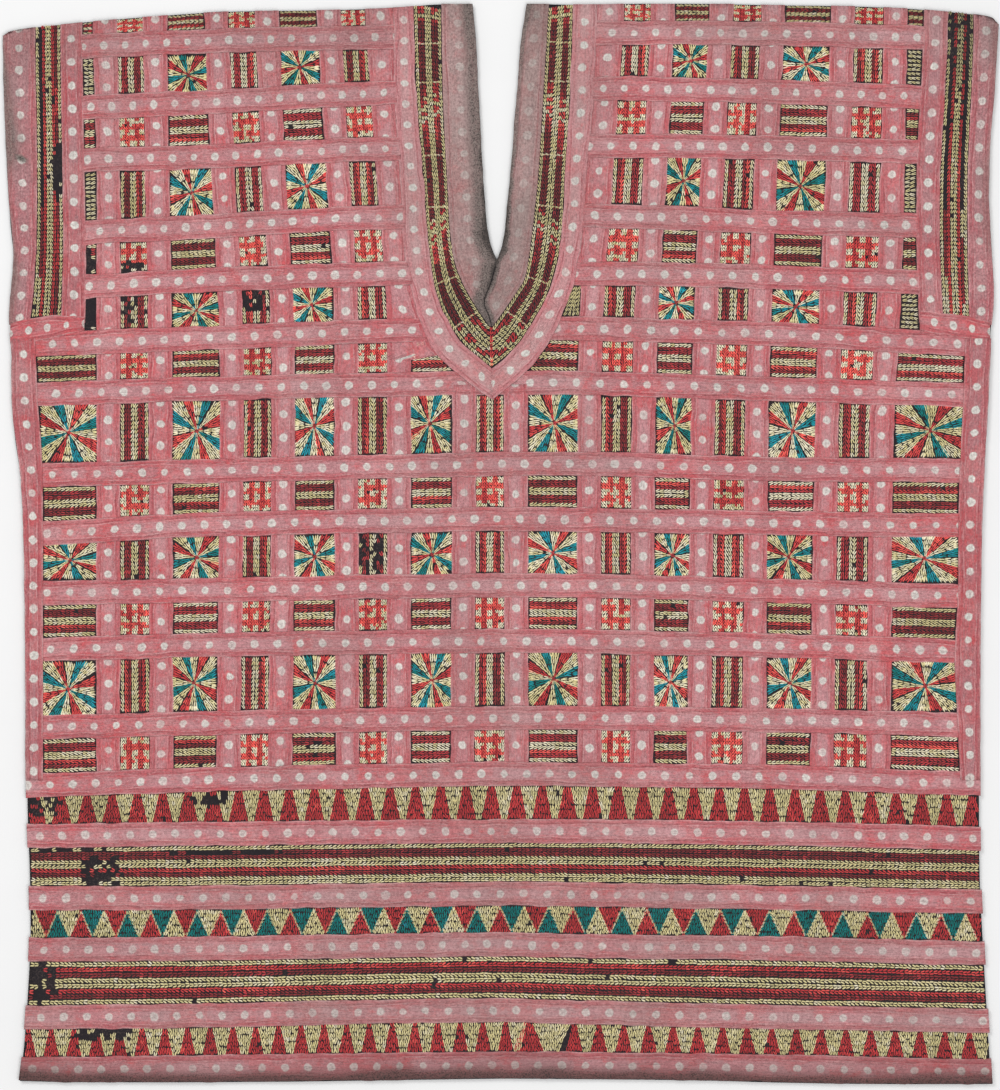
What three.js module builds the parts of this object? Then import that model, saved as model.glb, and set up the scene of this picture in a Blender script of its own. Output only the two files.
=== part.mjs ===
// A pull-on folk waistcoat laid flat: a back and a front panel of dark cotton, with a
// lattice of dotted cotton strips and the neck and armhole bands sewn on the front.
// Millimetres. +Z is up from the surface that it lies on, +Y runs from the hem to the
// shoulders and the origin is under the middle of the garment.
import * as THREE from 'three';

// ---------------------------------------------------------------- driving sizes
const HALF_WIDTH = 289.5; // half of the width across the shoulders
const HALF_LENGTH = 315; // half of the length from shoulder to hem
const PANEL_WALL = 1.4; // front and back, each a doubled cotton
const STRIP_WALL = 1.0; // a strip with its turned edges
const SEAM_GAP = 0.35; // clearance between any two pieces
const BEND_GAP = 0.8; // the same where a straight end meets a bent edge
const STRIP_WIDTH = 14.2;
const CROSSING_MARGIN = 0.8; // a strip stays up this far beyond the strip that it crosses
const CROSSING_RAMP = 2.6; // and comes down over this length
const EDGE_INSET = 0.5; // a strip's edge inside the panel's edge
const SWELL = 0.5; // how far the front stands off the back in the middle
const RIPPLE = 0.25; // soft unevenness of the front
const RIPPLE_ACROSS = 190; // wave lengths of the unevenness
const RIPPLE_ALONG = 240;
const CREASE_RISE = 0.9; // fold of cloth along each underarm strip

// ---------------------------------------------------------------- tables
/** Rows of numbers with named columns. */
function table(columns, ...rows) {
  return rows.map((row) => Object.fromEntries(columns.map((name, i) => [name, row[i]])));
}

// Side edges of the garment, from hem to shoulder.
const SIDES = table(['y', 'left', 'right'],
  [-315, -280.5, 286.5], [-292, -277.8, 285.2], [-236.5, -274.5, 282], [-196, -274.5, 280],
  [-149, -276, 279.5], [-62, -276.5, 279.5], [8, -277.5, 280.3], [43, -279.5, 281.8],
  [72.5, -283.5, 283.4], [92.5, -284.5, 284.5], [113, -284, 285.4], [129.5, -286.5, 286.3],
  [145, -285, 287.5], [171.5, -283.5, 286], [200, -286, 284.6], [229.5, -287.5, 285],
  [264.5, -289, 287.7], [293, -289.5, 289.5]);
// Shoulder fold and hem, from left to right.
const SHOULDER = table(['x', 'y'],
  [-289.5, 295], [-284.5, 299.5], [-268.5, 301], [-221.5, 305.5], [-175, 309], [-116.5, 311.5],
  [-70, 314], [-14.5, 315], [16, 315], [81.5, 314], [163, 313.5], [244.5, 311], [271, 309],
  [289.5, 305.5]);
const HEM = table(['x', 'y'],
  [-280.5, -314], [-146, -312], [0, -310.5], [145.5, -312], [286.5, -315]);
// The open neck slit, which goes through the front and the back.
const SLIT = table(['y', 'left', 'right'],
  [164.5, -2, -2], [171, -6, 0.6], [183, -8.5, 3], [203.5, -10.2, 4.5], [229.5, -11, 8],
  [270.5, -12.5, 12], [315, -14.6, 16.2]);
// Below the slit the right neck band laps over the left one along this line.
const LAP_LINE = table(['y', 'x'], [127, -5], [133, -6.5], [141, -9.5], [152, -5.5], [164.5, -2]);

// Neck bands: outer and inner edge, station by station from the shoulder to the V tip.
const NECK_OUTER_LEFT = table(['xOut', 'yOut', 'xIn', 'yIn'],
  [-62.5, 312.5, -50.5, 312.5], [-61.8, 259, -48.5, 259], [-58.5, 212, -44.5, 212],
  [-57.5, 189, -43, 189], [-55.5, 162.5, -40.5, 165], [-52, 148, -37.7, 148],
  [-48, 133.5, -33.5, 136], [-41, 116, -25.5, 121.5], [-28, 101.5, -16.5, 112],
  [-4.3, 83.5, -4.8, 102.5]);
const NECK_OUTER_RIGHT = table(['xOut', 'yOut', 'xIn', 'yIn'],
  [56.5, 312.5, 42.5, 312.5], [54.5, 259, 40.5, 259], [50, 212, 37.5, 212], [48, 183, 36, 183],
  [44.5, 159.5, 33, 164], [40.5, 145, 27, 144.5], [35, 130.5, 20, 131.5], [27.5, 116, 11.5, 118],
  [17.5, 102.5, 3.5, 109.5], [-3.7, 83.5, -4.2, 102.5]);
// Inner edge of the embroidered neck band, where the inner pink band starts.
const NECK_INNER = table(['y', 'left', 'right'],
  [127, -6.4, -4.2], [136.5, -13, 2.6], [148, -20, 10.3], [154, -23, 14], [165, -26.8, 16.4],
  [183, -29.5, 18.8], [212, -31, 22], [259, -33.5, 25], [315, -34.5, 28.5]);

// Armhole bands: outer pink to embroidery, embroidery to inner pink, inner pink to lattice.
const ARMHOLE_LEFT = table(['y', 'outer', 'middle', 'inner'],
  [130, -274, -256.5, -242], [142.5, -272.5, -255.8, -241.7], [171.5, -270.5, -255, -241.5],
  [224, -270, -255.5, -242.5], [282, -271, -256.5, -243.5], [315, -271, -256.5, -243.5]);
const ARMHOLE_RIGHT = table(['y', 'outer', 'middle', 'inner'],
  [130, 273.5, 258.4, 244.2], [171.5, 272.5, 256.5, 242.5], [212, 272.5, 256.5, 242.7],
  [229.5, 273, 257.4, 243], [282, 275.5, 260.5, 246], [315, 276, 261.6, 247.2]);
// Slanted strips that close each underarm: lower and upper edge.
const UNDERARM_LEFT = table(['x', 'lower', 'upper'],
  [-285.4, 122.6, 129.5], [-274, 123.2, 131.5], [-258, 124.8, 133.3], [-242.4, 126.2, 133.2]);
const UNDERARM_RIGHT = table(['x', 'lower', 'upper'],
  [244.6, 126, 136], [258, 125.2, 134], [272.5, 123.6, 132], [285.6, 122.6, 129.7]);
// Inner edge of the side borders.
const BORDERS = table(['y', 'left', 'right'],
  [-134, -266.5, 268], [-85, -266.5, 265.5], [-62, -266.5, 264.8], [-32.5, -266.5, 266.6],
  [25.5, -266.6, 267.2], [55, -267.3, 268.4], [84, -269.5, 269.8], [124, -271.2, 271.2]);

// Middle line of each upright strip at five heights, and of each cross strip at six places.
const UPRIGHTS = table(['name', 'shoulder', 'chest', 'underarm', 'waist', 'foot'],
  ['v01', -230, -228.5, -228.5, -228.5, -228.5], ['v02', -201, -200, -198.5, -198, -197.5],
  ['v03', -164.5, -161.5, -157.5, -156.5, -158.5], ['v04', -135, -132, -127.5, -126.5, -128.5],
  ['v05', -98.5, -94.5, -90, -90, -89], ['v06', -70, -65, -59.5, -59, -59],
  ['v07', -21, -21, -21, -21, -22], ['v08', 9, 9, 9, 9, 9.5],
  ['v09', 63.5, 58.5, 53.5, 52, 52], ['v10', 93.5, 90, 85.5, 83.5, 82.5],
  ['v11', 127.5, 123.5, 120, 118, 116], ['v12', 158, 154.5, 151.5, 149.5, 148],
  ['v13', 199, 196.5, 193, 190.5, 187.5], ['v14', 230, 228.5, 226.5, 222.5, 220.5]);
const UPRIGHT_HEIGHTS = { shoulder: 282, chest: 212, underarm: 139.5, waist: 66.5, foot: -126 };
const CROSS_PLACES = { farLeft: -251, left: -175, midLeft: -6, midRight: 58, right: 169, farRight: 250.5 };
const CROSS_STRIPS = table(['name', 'farLeft', 'left', 'midLeft', 'midRight', 'right', 'farRight'],
  ['h01', 117, 120, 126, 125.3, 122, 117.5], ['h02', 88, 90.5, 94, 93.5, 90, 87.5],
  ['h03', 40.5, 42.5, 46.5, 46.5, 43.5, 43], ['h04', 7, 11, 14.5, 14, 12, 11],
  ['h05', -28.5, -27, -24, -24.5, -27.5, -30], ['h06', -61, -59, -56.5, -57, -59.5, -62],
  ['h07', -106.5, -104.5, -101.5, -101.5, -103, -105], ['h08', -140, -137.5, -134, -134.5, -136, -139],
  ['h09', -170, -169, -167.5, -167.5, -169, -171], ['h10', -206.5, -206.3, -204, -204.5, -206.5, -208],
  ['h11', -236.5, -236, -233.5, -234.5, -236, -238], ['h12', -276, -275, -271.8, -273.5, -276, -277.5],
  ['h13', -306, -305, -303, -303.4, -304.8, -306.8]);
// Short cross strips of the chest, one row a pair.
const CHEST_PLACES = { armLeft: -233.5, midLeft: -181, neckLeft: -67, neckRight: 70, midRight: 163, armRight: 233 };
const CHEST_STRIPS = table(['name', 'armLeft', 'midLeft', 'neckLeft', 'neckRight', 'midRight', 'armRight'],
  ['u01', 290.5, 293, 295.5, 298, 297.5, 295.5], ['u02', 255, 257, 263, 265.5, 263.5, 261],
  ['u03', 224, 225.5, 230.5, 232, 231, 229], ['u04', 182, 184.5, 190.5, 191, 187.5, 186],
  ['u05', 150.5, 153.5, 157.5, 157.5, 155.5, 153]);
const LOWEST_CROSSING = 7; // h08 is the last cross strip that the uprights reach
const BELOW_NECK = ['v07', 'v08']; // these two uprights start below the neck
const BESIDE_NECK = 'v06'; // and this one is covered a little by the neck band
const NECK_BEND = 110; // below this height the neck band runs clear of it

const GROUND = { color: 0x2b2325, roughness: 0.95, metalness: 0 };
const PINK = { color: 0xc26d78, roughness: 0.9, metalness: 0 };
const GREYED_PINK = { color: 0x9a7f80, roughness: 0.95, metalness: 0 };

// ---------------------------------------------------------------- curves
/** A smooth curve through the rows of a table, as a function of one of its columns. */
function curve(rows, along, value) {
  const points = rows.map((row) => [row[along], row[value]]).sort((a, b) => a[0] - b[0]);
  const slope = (i) => {
    const before = points[Math.max(i - 1, 0)];
    const after = points[Math.min(i + 1, points.length - 1)];
    return (after[1] - before[1]) / (after[0] - before[0]);
  };
  return (at) => {
    const last = points.length - 2;
    let i = 0;
    while (i < last && at > points[i + 1][0]) i += 1;
    const [from, to] = [points[i], points[i + 1]];
    const span = to[0] - from[0];
    const t = THREE.MathUtils.clamp((at - from[0]) / span, -0.4, 1.4);
    const near = slope(i) * span;
    const far = slope(i + 1) * span;
    const rise = to[1] - from[1];
    if (t < 0) return from[1] + near * t;
    if (t > 1) return to[1] + far * (t - 1);
    return from[1] + t * near + t * t * (3 * rise - 2 * near - far) + t ** 3 * (near + far - 2 * rise);
  };
}

/** Straight lines through the rows of a table, as a function of one of its columns. */
function straightLines(rows, along, value) {
  const points = rows.map((row) => [row[along], row[value]]).sort((a, b) => a[0] - b[0]);
  return (at) => {
    let i = 0;
    while (i < points.length - 2 && at > points[i + 1][0]) i += 1;
    const t = (at - points[i][0]) / (points[i + 1][0] - points[i][0]);
    return THREE.MathUtils.lerp(points[i][1], points[i + 1][1], t);
  };
}

/** The curve of one table row whose columns stand at the given places. */
function rowCurve(row, places) {
  const points = Object.entries(places).map(([name, at]) => ({ at, value: row[name] }));
  return curve(points, 'at', 'value');
}

const sideLeft = curve(SIDES, 'y', 'left');
const sideRight = curve(SIDES, 'y', 'right');
const shoulderLine = curve(SHOULDER, 'x', 'y');
const hemLine = curve(HEM, 'x', 'y');
const slitLeft = curve(SLIT, 'y', 'left');
const slitRight = curve(SLIT, 'y', 'right');
const neckEdgeLeft = straightLines(NECK_OUTER_LEFT, 'yOut', 'xOut');
const neckEdgeRight = straightLines(NECK_OUTER_RIGHT, 'yOut', 'xOut');
const borderLeft = curve(BORDERS, 'y', 'left');
const borderRight = curve(BORDERS, 'y', 'right');

// ---------------------------------------------------------------- surface
/** Height of the front panel's upper face: a low swell with a soft unevenness. */
function frontTop(x, y) {
  const dome = (1 - (x / HALF_WIDTH) ** 2) * (1 - (y / HALF_LENGTH) ** 2);
  const wave = Math.sin((2 * Math.PI * x) / RIPPLE_ACROSS) * Math.cos((2 * Math.PI * y) / RIPPLE_ALONG);
  return PANEL_WALL + SEAM_GAP + PANEL_WALL + Math.max(dome, 0) * (SWELL + RIPPLE * wave);
}

/** A point on the upper face of a strip that lies the given height above the front. */
function onFront(x, y, lift = 0) {
  return { x, y, z: frontTop(x, y) + SEAM_GAP + lift + STRIP_WALL };
}

// ---------------------------------------------------------------- walls of cloth
/** A closed wall from its upper face: points, and quads counter-clockwise from above. */
function clothWall(points, quads, thickness) {
  const count = points.length;
  const positions = [];
  for (const drop of [0, thickness]) {
    for (const point of points) positions.push(point.x, point.y, point.z - drop);
  }
  const indices = [];
  const edges = new Set();
  for (const [a, b, c, d] of quads) {
    indices.push(a, b, c, a, c, d);
    indices.push(a + count, c + count, b + count, a + count, d + count, c + count);
    for (const [from, to] of [[a, b], [b, c], [c, d], [d, a]]) edges.add(`${from},${to}`);
  }
  for (const edge of edges) {
    const [from, to] = edge.split(',').map(Number);
    if (edges.has(`${to},${from}`)) continue;
    indices.push(from + count, to + count, to, from + count, to, from);
  }
  const geometry = new THREE.BufferGeometry();
  geometry.setAttribute('position', new THREE.Float32BufferAttribute(positions, 3));
  geometry.setIndex(indices);
  geometry.computeVertexNormals();
  return geometry;
}

/** A ribbon of cloth: stations along it, each a list of points from its right to its left. */
function ribbon(stations) {
  const across = stations[0].length;
  const quads = [];
  for (let i = 0; i + 1 < stations.length; i += 1) {
    for (let j = 0; j + 1 < across; j += 1) {
      const near = i * across + j;
      quads.push([near, near + across, near + across + 1, near + 1]);
    }
  }
  return clothWall(stations.flat(), quads, STRIP_WALL);
}

/** Evenly spaced numbers, both ends included. */
function steps(from, to, count) {
  return Array.from({ length: count + 1 }, (_, i) => (i === count ? to : from + ((to - from) * i) / count));
}

// ---------------------------------------------------------------- panels
const PANEL_COLUMNS = 9; // quads from each side to the middle
const PANEL_ROWS = [...steps(-HALF_LENGTH, 164.5, 15), ...steps(164.5, HALF_LENGTH, 6).slice(1)];

/** One panel: two halves that are joined below the foot of the slit. */
function panel(height) {
  const slitFoot = SLIT[0].y;
  const points = [];
  const known = new Map();
  const place = (xFlat, yFlat) => {
    const up = (yFlat + HALF_LENGTH) / (2 * HALF_LENGTH);
    const y = yFlat + (1 - up) * (hemLine(xFlat) + HALF_LENGTH) + up * (shoulderLine(xFlat) - HALF_LENGTH);
    const key = `${xFlat.toFixed(3)},${yFlat.toFixed(3)}`;
    if (!known.has(key)) {
      known.set(key, points.length);
      points.push({ x: xFlat, y, z: height(xFlat, y) });
    }
    return known.get(key);
  };
  const rowOf = (y, fromEdge, toEdge) => steps(fromEdge(y), toEdge(y), PANEL_COLUMNS).map((x) => place(x, y));
  const middle = (edge) => (y) => (y > slitFoot ? edge(y) : SLIT[0].left);
  const quads = [];
  for (const [fromEdge, toEdge] of [[sideLeft, middle(slitLeft)], [middle(slitRight), sideRight]]) {
    const rows = PANEL_ROWS.map((y) => rowOf(y, fromEdge, toEdge));
    for (let i = 0; i + 1 < rows.length; i += 1) {
      for (let j = 0; j < PANEL_COLUMNS; j += 1) {
        quads.push([rows[i][j], rows[i][j + 1], rows[i + 1][j + 1], rows[i + 1][j]]);
      }
    }
  }
  return clothWall(points, quads, PANEL_WALL);
}

// ---------------------------------------------------------------- lattice strips
const half = STRIP_WIDTH / 2;
const uprights = UPRIGHTS.map((row) => ({ name: row.name, middle: rowCurve(row, UPRIGHT_HEIGHTS) }));
const crossLines = CROSS_STRIPS.map((row) => ({ name: row.name, middle: rowCurve(row, CROSS_PLACES) }));

/** An upright strip, from under h08 to the shoulder or, for two of them, to h02. */
function uprightStrip({ name, middle }) {
  const footX = middle(UPRIGHT_HEIGHTS.foot);
  const foot = crossLines[LOWEST_CROSSING].middle(footX);
  const belowNeck = BELOW_NECK.includes(name);
  const headY = (x) => (belowNeck ? crossLines[1].middle(x) - half - EDGE_INSET : shoulderLine(x) - EDGE_INSET);
  const head = headY(middle(HALF_LENGTH));
  const besideNeck = name === BESIDE_NECK ? NECK_OUTER_LEFT.map((row) => row.yOut) : [];
  const heights = steps(foot, head, belowNeck ? 8 : 14)
    .filter((y) => !besideNeck.length || y === head || y < NECK_BEND)
    .concat(besideNeck.filter((y) => y > NECK_BEND && y < head - 1))
    .sort((a, b) => a - b);
  const edges = (y) => [
    besideNeck.length && y > NECK_BEND ? Math.min(middle(y) + half, neckEdgeLeft(y) - BEND_GAP) : middle(y) + half,
    middle(y) - half,
  ];
  return ribbon(heights.map((y) => edges(y).map((x) => onFront(x, y === head ? headY(x) : y))));
}

/** How far a cross strip is lifted at x by the uprights that it runs over. */
function liftOver(crossed, x) {
  const nearest = Math.min(...crossed.map((at) => Math.abs(x - at)));
  const down = (nearest - half - CROSSING_MARGIN) / CROSSING_RAMP;
  return (SEAM_GAP + STRIP_WALL) * (1 - THREE.MathUtils.clamp(down, 0, 1));
}

/** A cross strip between two end edges, each a function that gives x for a height y. */
function crossStrip(middle, startEdge, endEdge, crossedNames) {
  const ends = (edge, guess) => {
    const y = middle(guess);
    return [edge(y - half), edge(y + half)];
  };
  const start = ends(startEdge, startEdge(middle(0)));
  const end = ends(endEdge, endEdge(middle(0)));
  const crossed = uprights
    .filter(({ name }) => crossedNames.includes(name))
    .map((upright) => upright.middle(middle(upright.middle(0))));
  const reach = half + CROSSING_MARGIN;
  const breaks = crossed.flatMap((at) => [at - reach - CROSSING_RAMP, at - reach, at + reach, at + reach + CROSSING_RAMP]);
  const plain = steps(Math.max(...start), Math.min(...end), 12).slice(1, -1);
  const inside = (crossed.length ? breaks : plain)
    .filter((x) => x > Math.max(...start) + 0.5 && x < Math.min(...end) - 0.5);
  const station = (xLower, xUpper) => {
    const lift = (x) => (crossed.length ? liftOver(crossed, x) : 0);
    return [
      onFront(xLower, middle(xLower) - half, lift(xLower)),
      onFront(xUpper, middle(xUpper) + half, lift(xUpper)),
    ];
  };
  return ribbon([station(...start), ...inside.map((x) => station(x, x)), station(...end)]);
}

// ---------------------------------------------------------------- bands
/** A band between two edges that are given as functions of y, up to the shoulder. */
function bandUp(leftEdge, rightEdge, fromY, count) {
  return ribbon(steps(fromY, HALF_LENGTH, count).map((yFlat, i) => [rightEdge, leftEdge].map((edge) => {
    const x = edge(yFlat);
    return onFront(x, i === count ? shoulderLine(x) - EDGE_INSET : Math.min(yFlat, shoulderLine(x) - EDGE_INSET));
  })));
}

/** The outer pink neck band of one side, from its table of stations. */
function neckOuter(rows) {
  const outwards = Math.sign(rows[0].xOut - rows[0].xIn);
  const stations = rows.map(({ xOut, yOut, xIn, yIn }) => [onFront(xIn, yIn), onFront(xOut, yOut)]);
  return ribbon(outwards > 0 ? stations : stations.map((pair) => pair.reverse()));
}

/** An underarm strip with a soft fold along it. */
function underarm(rows) {
  const crease = [0, CREASE_RISE, CREASE_RISE * 0.3, 0];
  return ribbon(rows.map(({ x, lower, upper }) => {
    const heights = steps(lower, upper, crease.length - 1);
    return heights.map((y, i) => onFront(x, y, crease[i]));
  }));
}

/** A side border between the garment's edge and the lattice. */
function sideBorder(leftEdge, rightEdge, foot, head) {
  return ribbon(steps(foot, head, 10).map((y) => [onFront(rightEdge(y), y), onFront(leftEdge(y), y)]));
}

// ---------------------------------------------------------------- assembly
const waistcoat = new THREE.Group();

function add(name, geometry, finish) {
  const mesh = new THREE.Mesh(geometry, new THREE.MeshStandardMaterial(finish));
  mesh.name = name;
  waistcoat.add(mesh);
}

const shift = (edge, by) => (y) => edge(y) + by;
const column = (rows, name) => curve(rows, 'y', name);

add('back_panel', panel(() => PANEL_WALL), GROUND);
add('front_panel', panel(frontTop), GROUND);

uprights.forEach((upright) => add(`upright_${upright.name}`, uprightStrip(upright), PINK));

const leftNames = uprights.slice(0, 6).map(({ name }) => name);
const rightNames = uprights.slice(8).map(({ name }) => name);
const allNames = uprights.map(({ name }) => name);
const toNeckLeft = shift(neckEdgeLeft, -BEND_GAP);
const toNeckRight = shift(neckEdgeRight, BEND_GAP);
const toArmLeft = shift(column(ARMHOLE_LEFT, 'inner'), SEAM_GAP);
const toArmRight = shift(column(ARMHOLE_RIGHT, 'inner'), -SEAM_GAP);
const toBorderLeft = shift(borderLeft, SEAM_GAP);
const toBorderRight = shift(borderRight, -SEAM_GAP);
const toSideLeft = shift(sideLeft, EDGE_INSET);
const toSideRight = shift(sideRight, -EDGE_INSET);

for (const row of CHEST_STRIPS) {
  const middle = rowCurve(row, CHEST_PLACES);
  add(`chest_${row.name}_left`, crossStrip(middle, toArmLeft, toNeckLeft, leftNames), PINK);
  add(`chest_${row.name}_right`, crossStrip(middle, toNeckRight, toArmRight, rightNames), PINK);
}
crossLines.forEach(({ name, middle }, i) => {
  if (i < 2) {
    add(`cross_${name}_left`, crossStrip(middle, toBorderLeft, toNeckLeft, leftNames), PINK);
    add(`cross_${name}_right`, crossStrip(middle, toNeckRight, toBorderRight, rightNames), PINK);
  } else if (i < LOWEST_CROSSING) {
    add(`cross_${name}`, crossStrip(middle, toBorderLeft, toBorderRight, allNames), PINK);
  } else {
    const crossed = i === LOWEST_CROSSING ? allNames : [];
    add(`cross_${name}`, crossStrip(middle, toSideLeft, toSideRight, crossed), PINK);
  }
});

const borderFoot = -131.6; // just above h08
const borderHead = 121.8; // just below the underarm strips
add('side_border_left', sideBorder(toSideLeft, borderLeft, borderFoot, borderHead), PINK);
add('side_border_right', sideBorder(borderRight, toSideRight, borderFoot, borderHead), PINK);

const bandFoot = 136.8; // just above the underarm strips
const armLeft = (name, by) => shift(column(ARMHOLE_LEFT, name), by);
const armRight = (name, by) => shift(column(ARMHOLE_RIGHT, name), by);
add('armhole_outer_left', bandUp(toSideLeft, armLeft('outer', 0), bandFoot, 9), GREYED_PINK);
add('armhole_outer_right', bandUp(armRight('outer', 0), toSideRight, bandFoot, 9), GREYED_PINK);
add('armhole_inner_left', bandUp(armLeft('middle', 0), armLeft('inner', 0), bandFoot, 9), PINK);
add('armhole_inner_right', bandUp(armRight('inner', 0), armRight('middle', 0), bandFoot, 9), PINK);
add('underarm_left', underarm(UNDERARM_LEFT), PINK);
add('underarm_right', underarm(UNDERARM_RIGHT), PINK);

const slitFoot = SLIT[0].y;
const lapLine = curve(LAP_LINE, 'y', 'x');
const neckInnerLeft = column(NECK_INNER, 'left');
const neckInnerRight = column(NECK_INNER, 'right');
const openEdgeLeft = (y) => (y > slitFoot ? slitLeft(y) : lapLine(y)) - SEAM_GAP;
const openEdgeRight = (y) => (y > slitFoot ? slitRight(y) : lapLine(y)) + SEAM_GAP;
add('neck_outer_left', neckOuter(NECK_OUTER_LEFT), PINK);
add('neck_outer_right', neckOuter(NECK_OUTER_RIGHT), PINK);
add('neck_inner_left', bandUp(neckInnerLeft, openEdgeLeft, LAP_LINE[0].y, 14), GREYED_PINK);
add('neck_inner_right', bandUp(openEdgeRight, neckInnerRight, LAP_LINE[0].y, 14), GREYED_PINK);

export default waistcoat;
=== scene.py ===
"""A pull-on folk waistcoat laid flat: dark cotton panels closely covered in chain stitch,
under a lattice of pink strips with one row of resist-dyed dots each.

Sizes are in millimetres, and become metres when a mesh is made.
"""

import logging
import math
from collections.abc import Callable, Sequence
from dataclasses import dataclass, field
from enum import Enum

import bpy
import numpy as np
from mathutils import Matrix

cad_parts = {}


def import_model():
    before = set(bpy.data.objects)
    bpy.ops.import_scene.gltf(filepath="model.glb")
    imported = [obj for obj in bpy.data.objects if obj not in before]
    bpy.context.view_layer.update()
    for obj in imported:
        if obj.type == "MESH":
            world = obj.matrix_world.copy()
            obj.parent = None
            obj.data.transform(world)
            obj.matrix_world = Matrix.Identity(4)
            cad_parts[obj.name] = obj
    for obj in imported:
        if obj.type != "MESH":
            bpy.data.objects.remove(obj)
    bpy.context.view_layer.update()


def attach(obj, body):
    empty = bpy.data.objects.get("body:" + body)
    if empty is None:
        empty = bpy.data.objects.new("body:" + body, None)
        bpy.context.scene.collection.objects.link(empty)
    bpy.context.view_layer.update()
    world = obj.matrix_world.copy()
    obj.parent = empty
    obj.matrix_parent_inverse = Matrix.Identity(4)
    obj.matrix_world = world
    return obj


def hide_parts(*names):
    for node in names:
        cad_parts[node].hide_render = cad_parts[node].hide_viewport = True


MM = 0.001
LOG = logging.getLogger("waistcoat")
Edge = Callable[[np.ndarray], np.ndarray]
Row = tuple[float, ...]

# ---------------------------------------------------------------- driving sizes
HALF_WIDTH = 289.5
HALF_LENGTH = 315.0
PANEL_WALL = 1.4
SEAM_GAP = 0.35
STRIP_WIDTH = 14.2
HALF_STRIP = STRIP_WIDTH / 2
EDGE_INSET = 0.15
EDGE_COVER = 0.6
SHOULDER_COVER = 0.2
SWELL = 0.5
RIPPLE = 0.25
RIPPLE_ACROSS = 190.0
RIPPLE_ALONG = 240.0
SLIT_FOOT = 164.5

# Side edges of the garment, from hem to shoulder: height, left, right.
SIDES: tuple[Row, ...] = (
    (-315, -280.5, 286.5), (-292, -277.8, 285.2), (-236.5, -274.5, 282), (-196, -274.5, 280),
    (-149, -276, 279.5), (-62, -276.5, 279.5), (8, -277.5, 280.3), (43, -279.5, 281.8),
    (72.5, -283.5, 283.4), (92.5, -284.5, 284.5), (113, -284.3, 285.4), (129.5, -286, 286.3),
    (145, -285, 287.5), (171.5, -283.5, 286), (200, -286, 284.6), (229.5, -287.5, 285),
    (264.5, -289, 287.7), (293, -289.5, 289.5),
)
# Shoulder fold and hem: place across, height.
SHOULDER: tuple[Row, ...] = (
    (-289.5, 296.5), (-285.8, 298.8), (-281, 299.8), (-276.5, 300.5), (-268.5, 301.5), (-233, 305),
    (-198, 307.9), (-163, 310.2), (-128, 310.9), (-93, 311.4), (-58, 312.8), (-40.7, 314.4),
    (-23, 315), (16, 315), (46.8, 314.4), (81.5, 315), (116.7, 315), (163, 314.1), (204, 313.5),
    (239, 312), (271, 309.3), (286.3, 307.0), (289.5, 303.8),
)
HEM: tuple[Row, ...] = (
    (-280.5, -313.2), (-250, -313.9), (-146, -313.8), (-66.9, -312.8), (0, -311.9), (64, -312.3),
    (117, -312.9), (169, -314.3), (222, -315), (286.5, -315),
)
# The open neck slit, and the line where the right neck band laps over the left below it.
SLIT: tuple[Row, ...] = (
    (164.5, -2, -2), (171, -5.2, 0.9), (183, -7.9, 3.3), (203.5, -9.8, 5.2), (229.5, -11.5, 7.7),
    (250, -12.5, 9), (270.5, -13.7, 10.9), (291.5, -14.6, 12.4), (315, -16.7, 15.9),
)
LAP_LINE: tuple[Row, ...] = ((127, -5), (133, -6.5), (141, -9.5), (152, -5.5), (164.5, -2))
# Outer neck bands, shoulder to V tip: outer edge, then inner edge.
NECK_OUTER_LEFT: tuple[Row, ...] = (
    (-62.5, 312.5, -50.5, 312.5), (-61.8, 259, -48.5, 259), (-58.5, 212, -44.5, 212),
    (-57.5, 189, -43, 189), (-55.5, 162.5, -40.5, 165), (-52, 148, -37.7, 148),
    (-48, 133.5, -33.5, 136), (-41, 116, -25.5, 121.5), (-28, 101.5, -16.5, 112),
    (-4.3, 83.5, -4.8, 102.5),
)
NECK_OUTER_RIGHT: tuple[Row, ...] = (
    (56.5, 312.5, 42.5, 312.5), (54.5, 259, 40.5, 259), (50, 212, 37.5, 212), (48, 183, 36, 183),
    (44.5, 159.5, 33, 164), (40.5, 145, 27, 144.5), (35, 130.5, 20, 131.5), (27.5, 116, 11.5, 118),
    (17.5, 102.5, 3.5, 109.5), (-4.9, 83.5, -5.4, 102.5),
)
# Where the inner neck bands meet the embroidery: height, left, right.
NECK_INNER: tuple[Row, ...] = (
    (127, -6.4, -4.2), (136.5, -13, 2.6), (148, -20, 10.3), (154, -23, 14), (165, -26.8, 16.4),
    (183, -29.5, 18.8), (212, -31, 22), (259, -33.5, 25), (315, -34.5, 28.5),
)
# Armhole bands: height, outer pink to embroidery, embroidery to inner pink, inner pink to lattice.
ARMHOLE_LEFT: tuple[Row, ...] = (
    (130, -274, -256.5, -242), (142.5, -272.5, -255.8, -241.7), (171.5, -270.5, -255, -241.5),
    (224, -270, -255.5, -242.5), (282, -271, -256.5, -243.5), (315, -271, -256.5, -243.5),
)
ARMHOLE_RIGHT: tuple[Row, ...] = (
    (130, 273.5, 258.4, 244.2), (171.5, 272.5, 256.5, 242.5), (212, 272.5, 256.5, 242.7),
    (229.5, 273, 257.4, 243), (282, 275.5, 260.5, 246), (315, 276, 261.6, 247.2),
)
# Slanted underarm strips: place across, lower and upper edge.
UNDERARM_LEFT: tuple[Row, ...] = (
    (-285.6, 116.6, 128.8), (-274, 117.8, 131.6), (-258, 120.6, 133.4), (-242.4, 124.6, 132.6),
)
UNDERARM_RIGHT: tuple[Row, ...] = (
    (244.6, 124.4, 136), (258, 121.6, 134.6), (272.5, 119.6, 132.8), (285.6, 118, 130),
)
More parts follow.
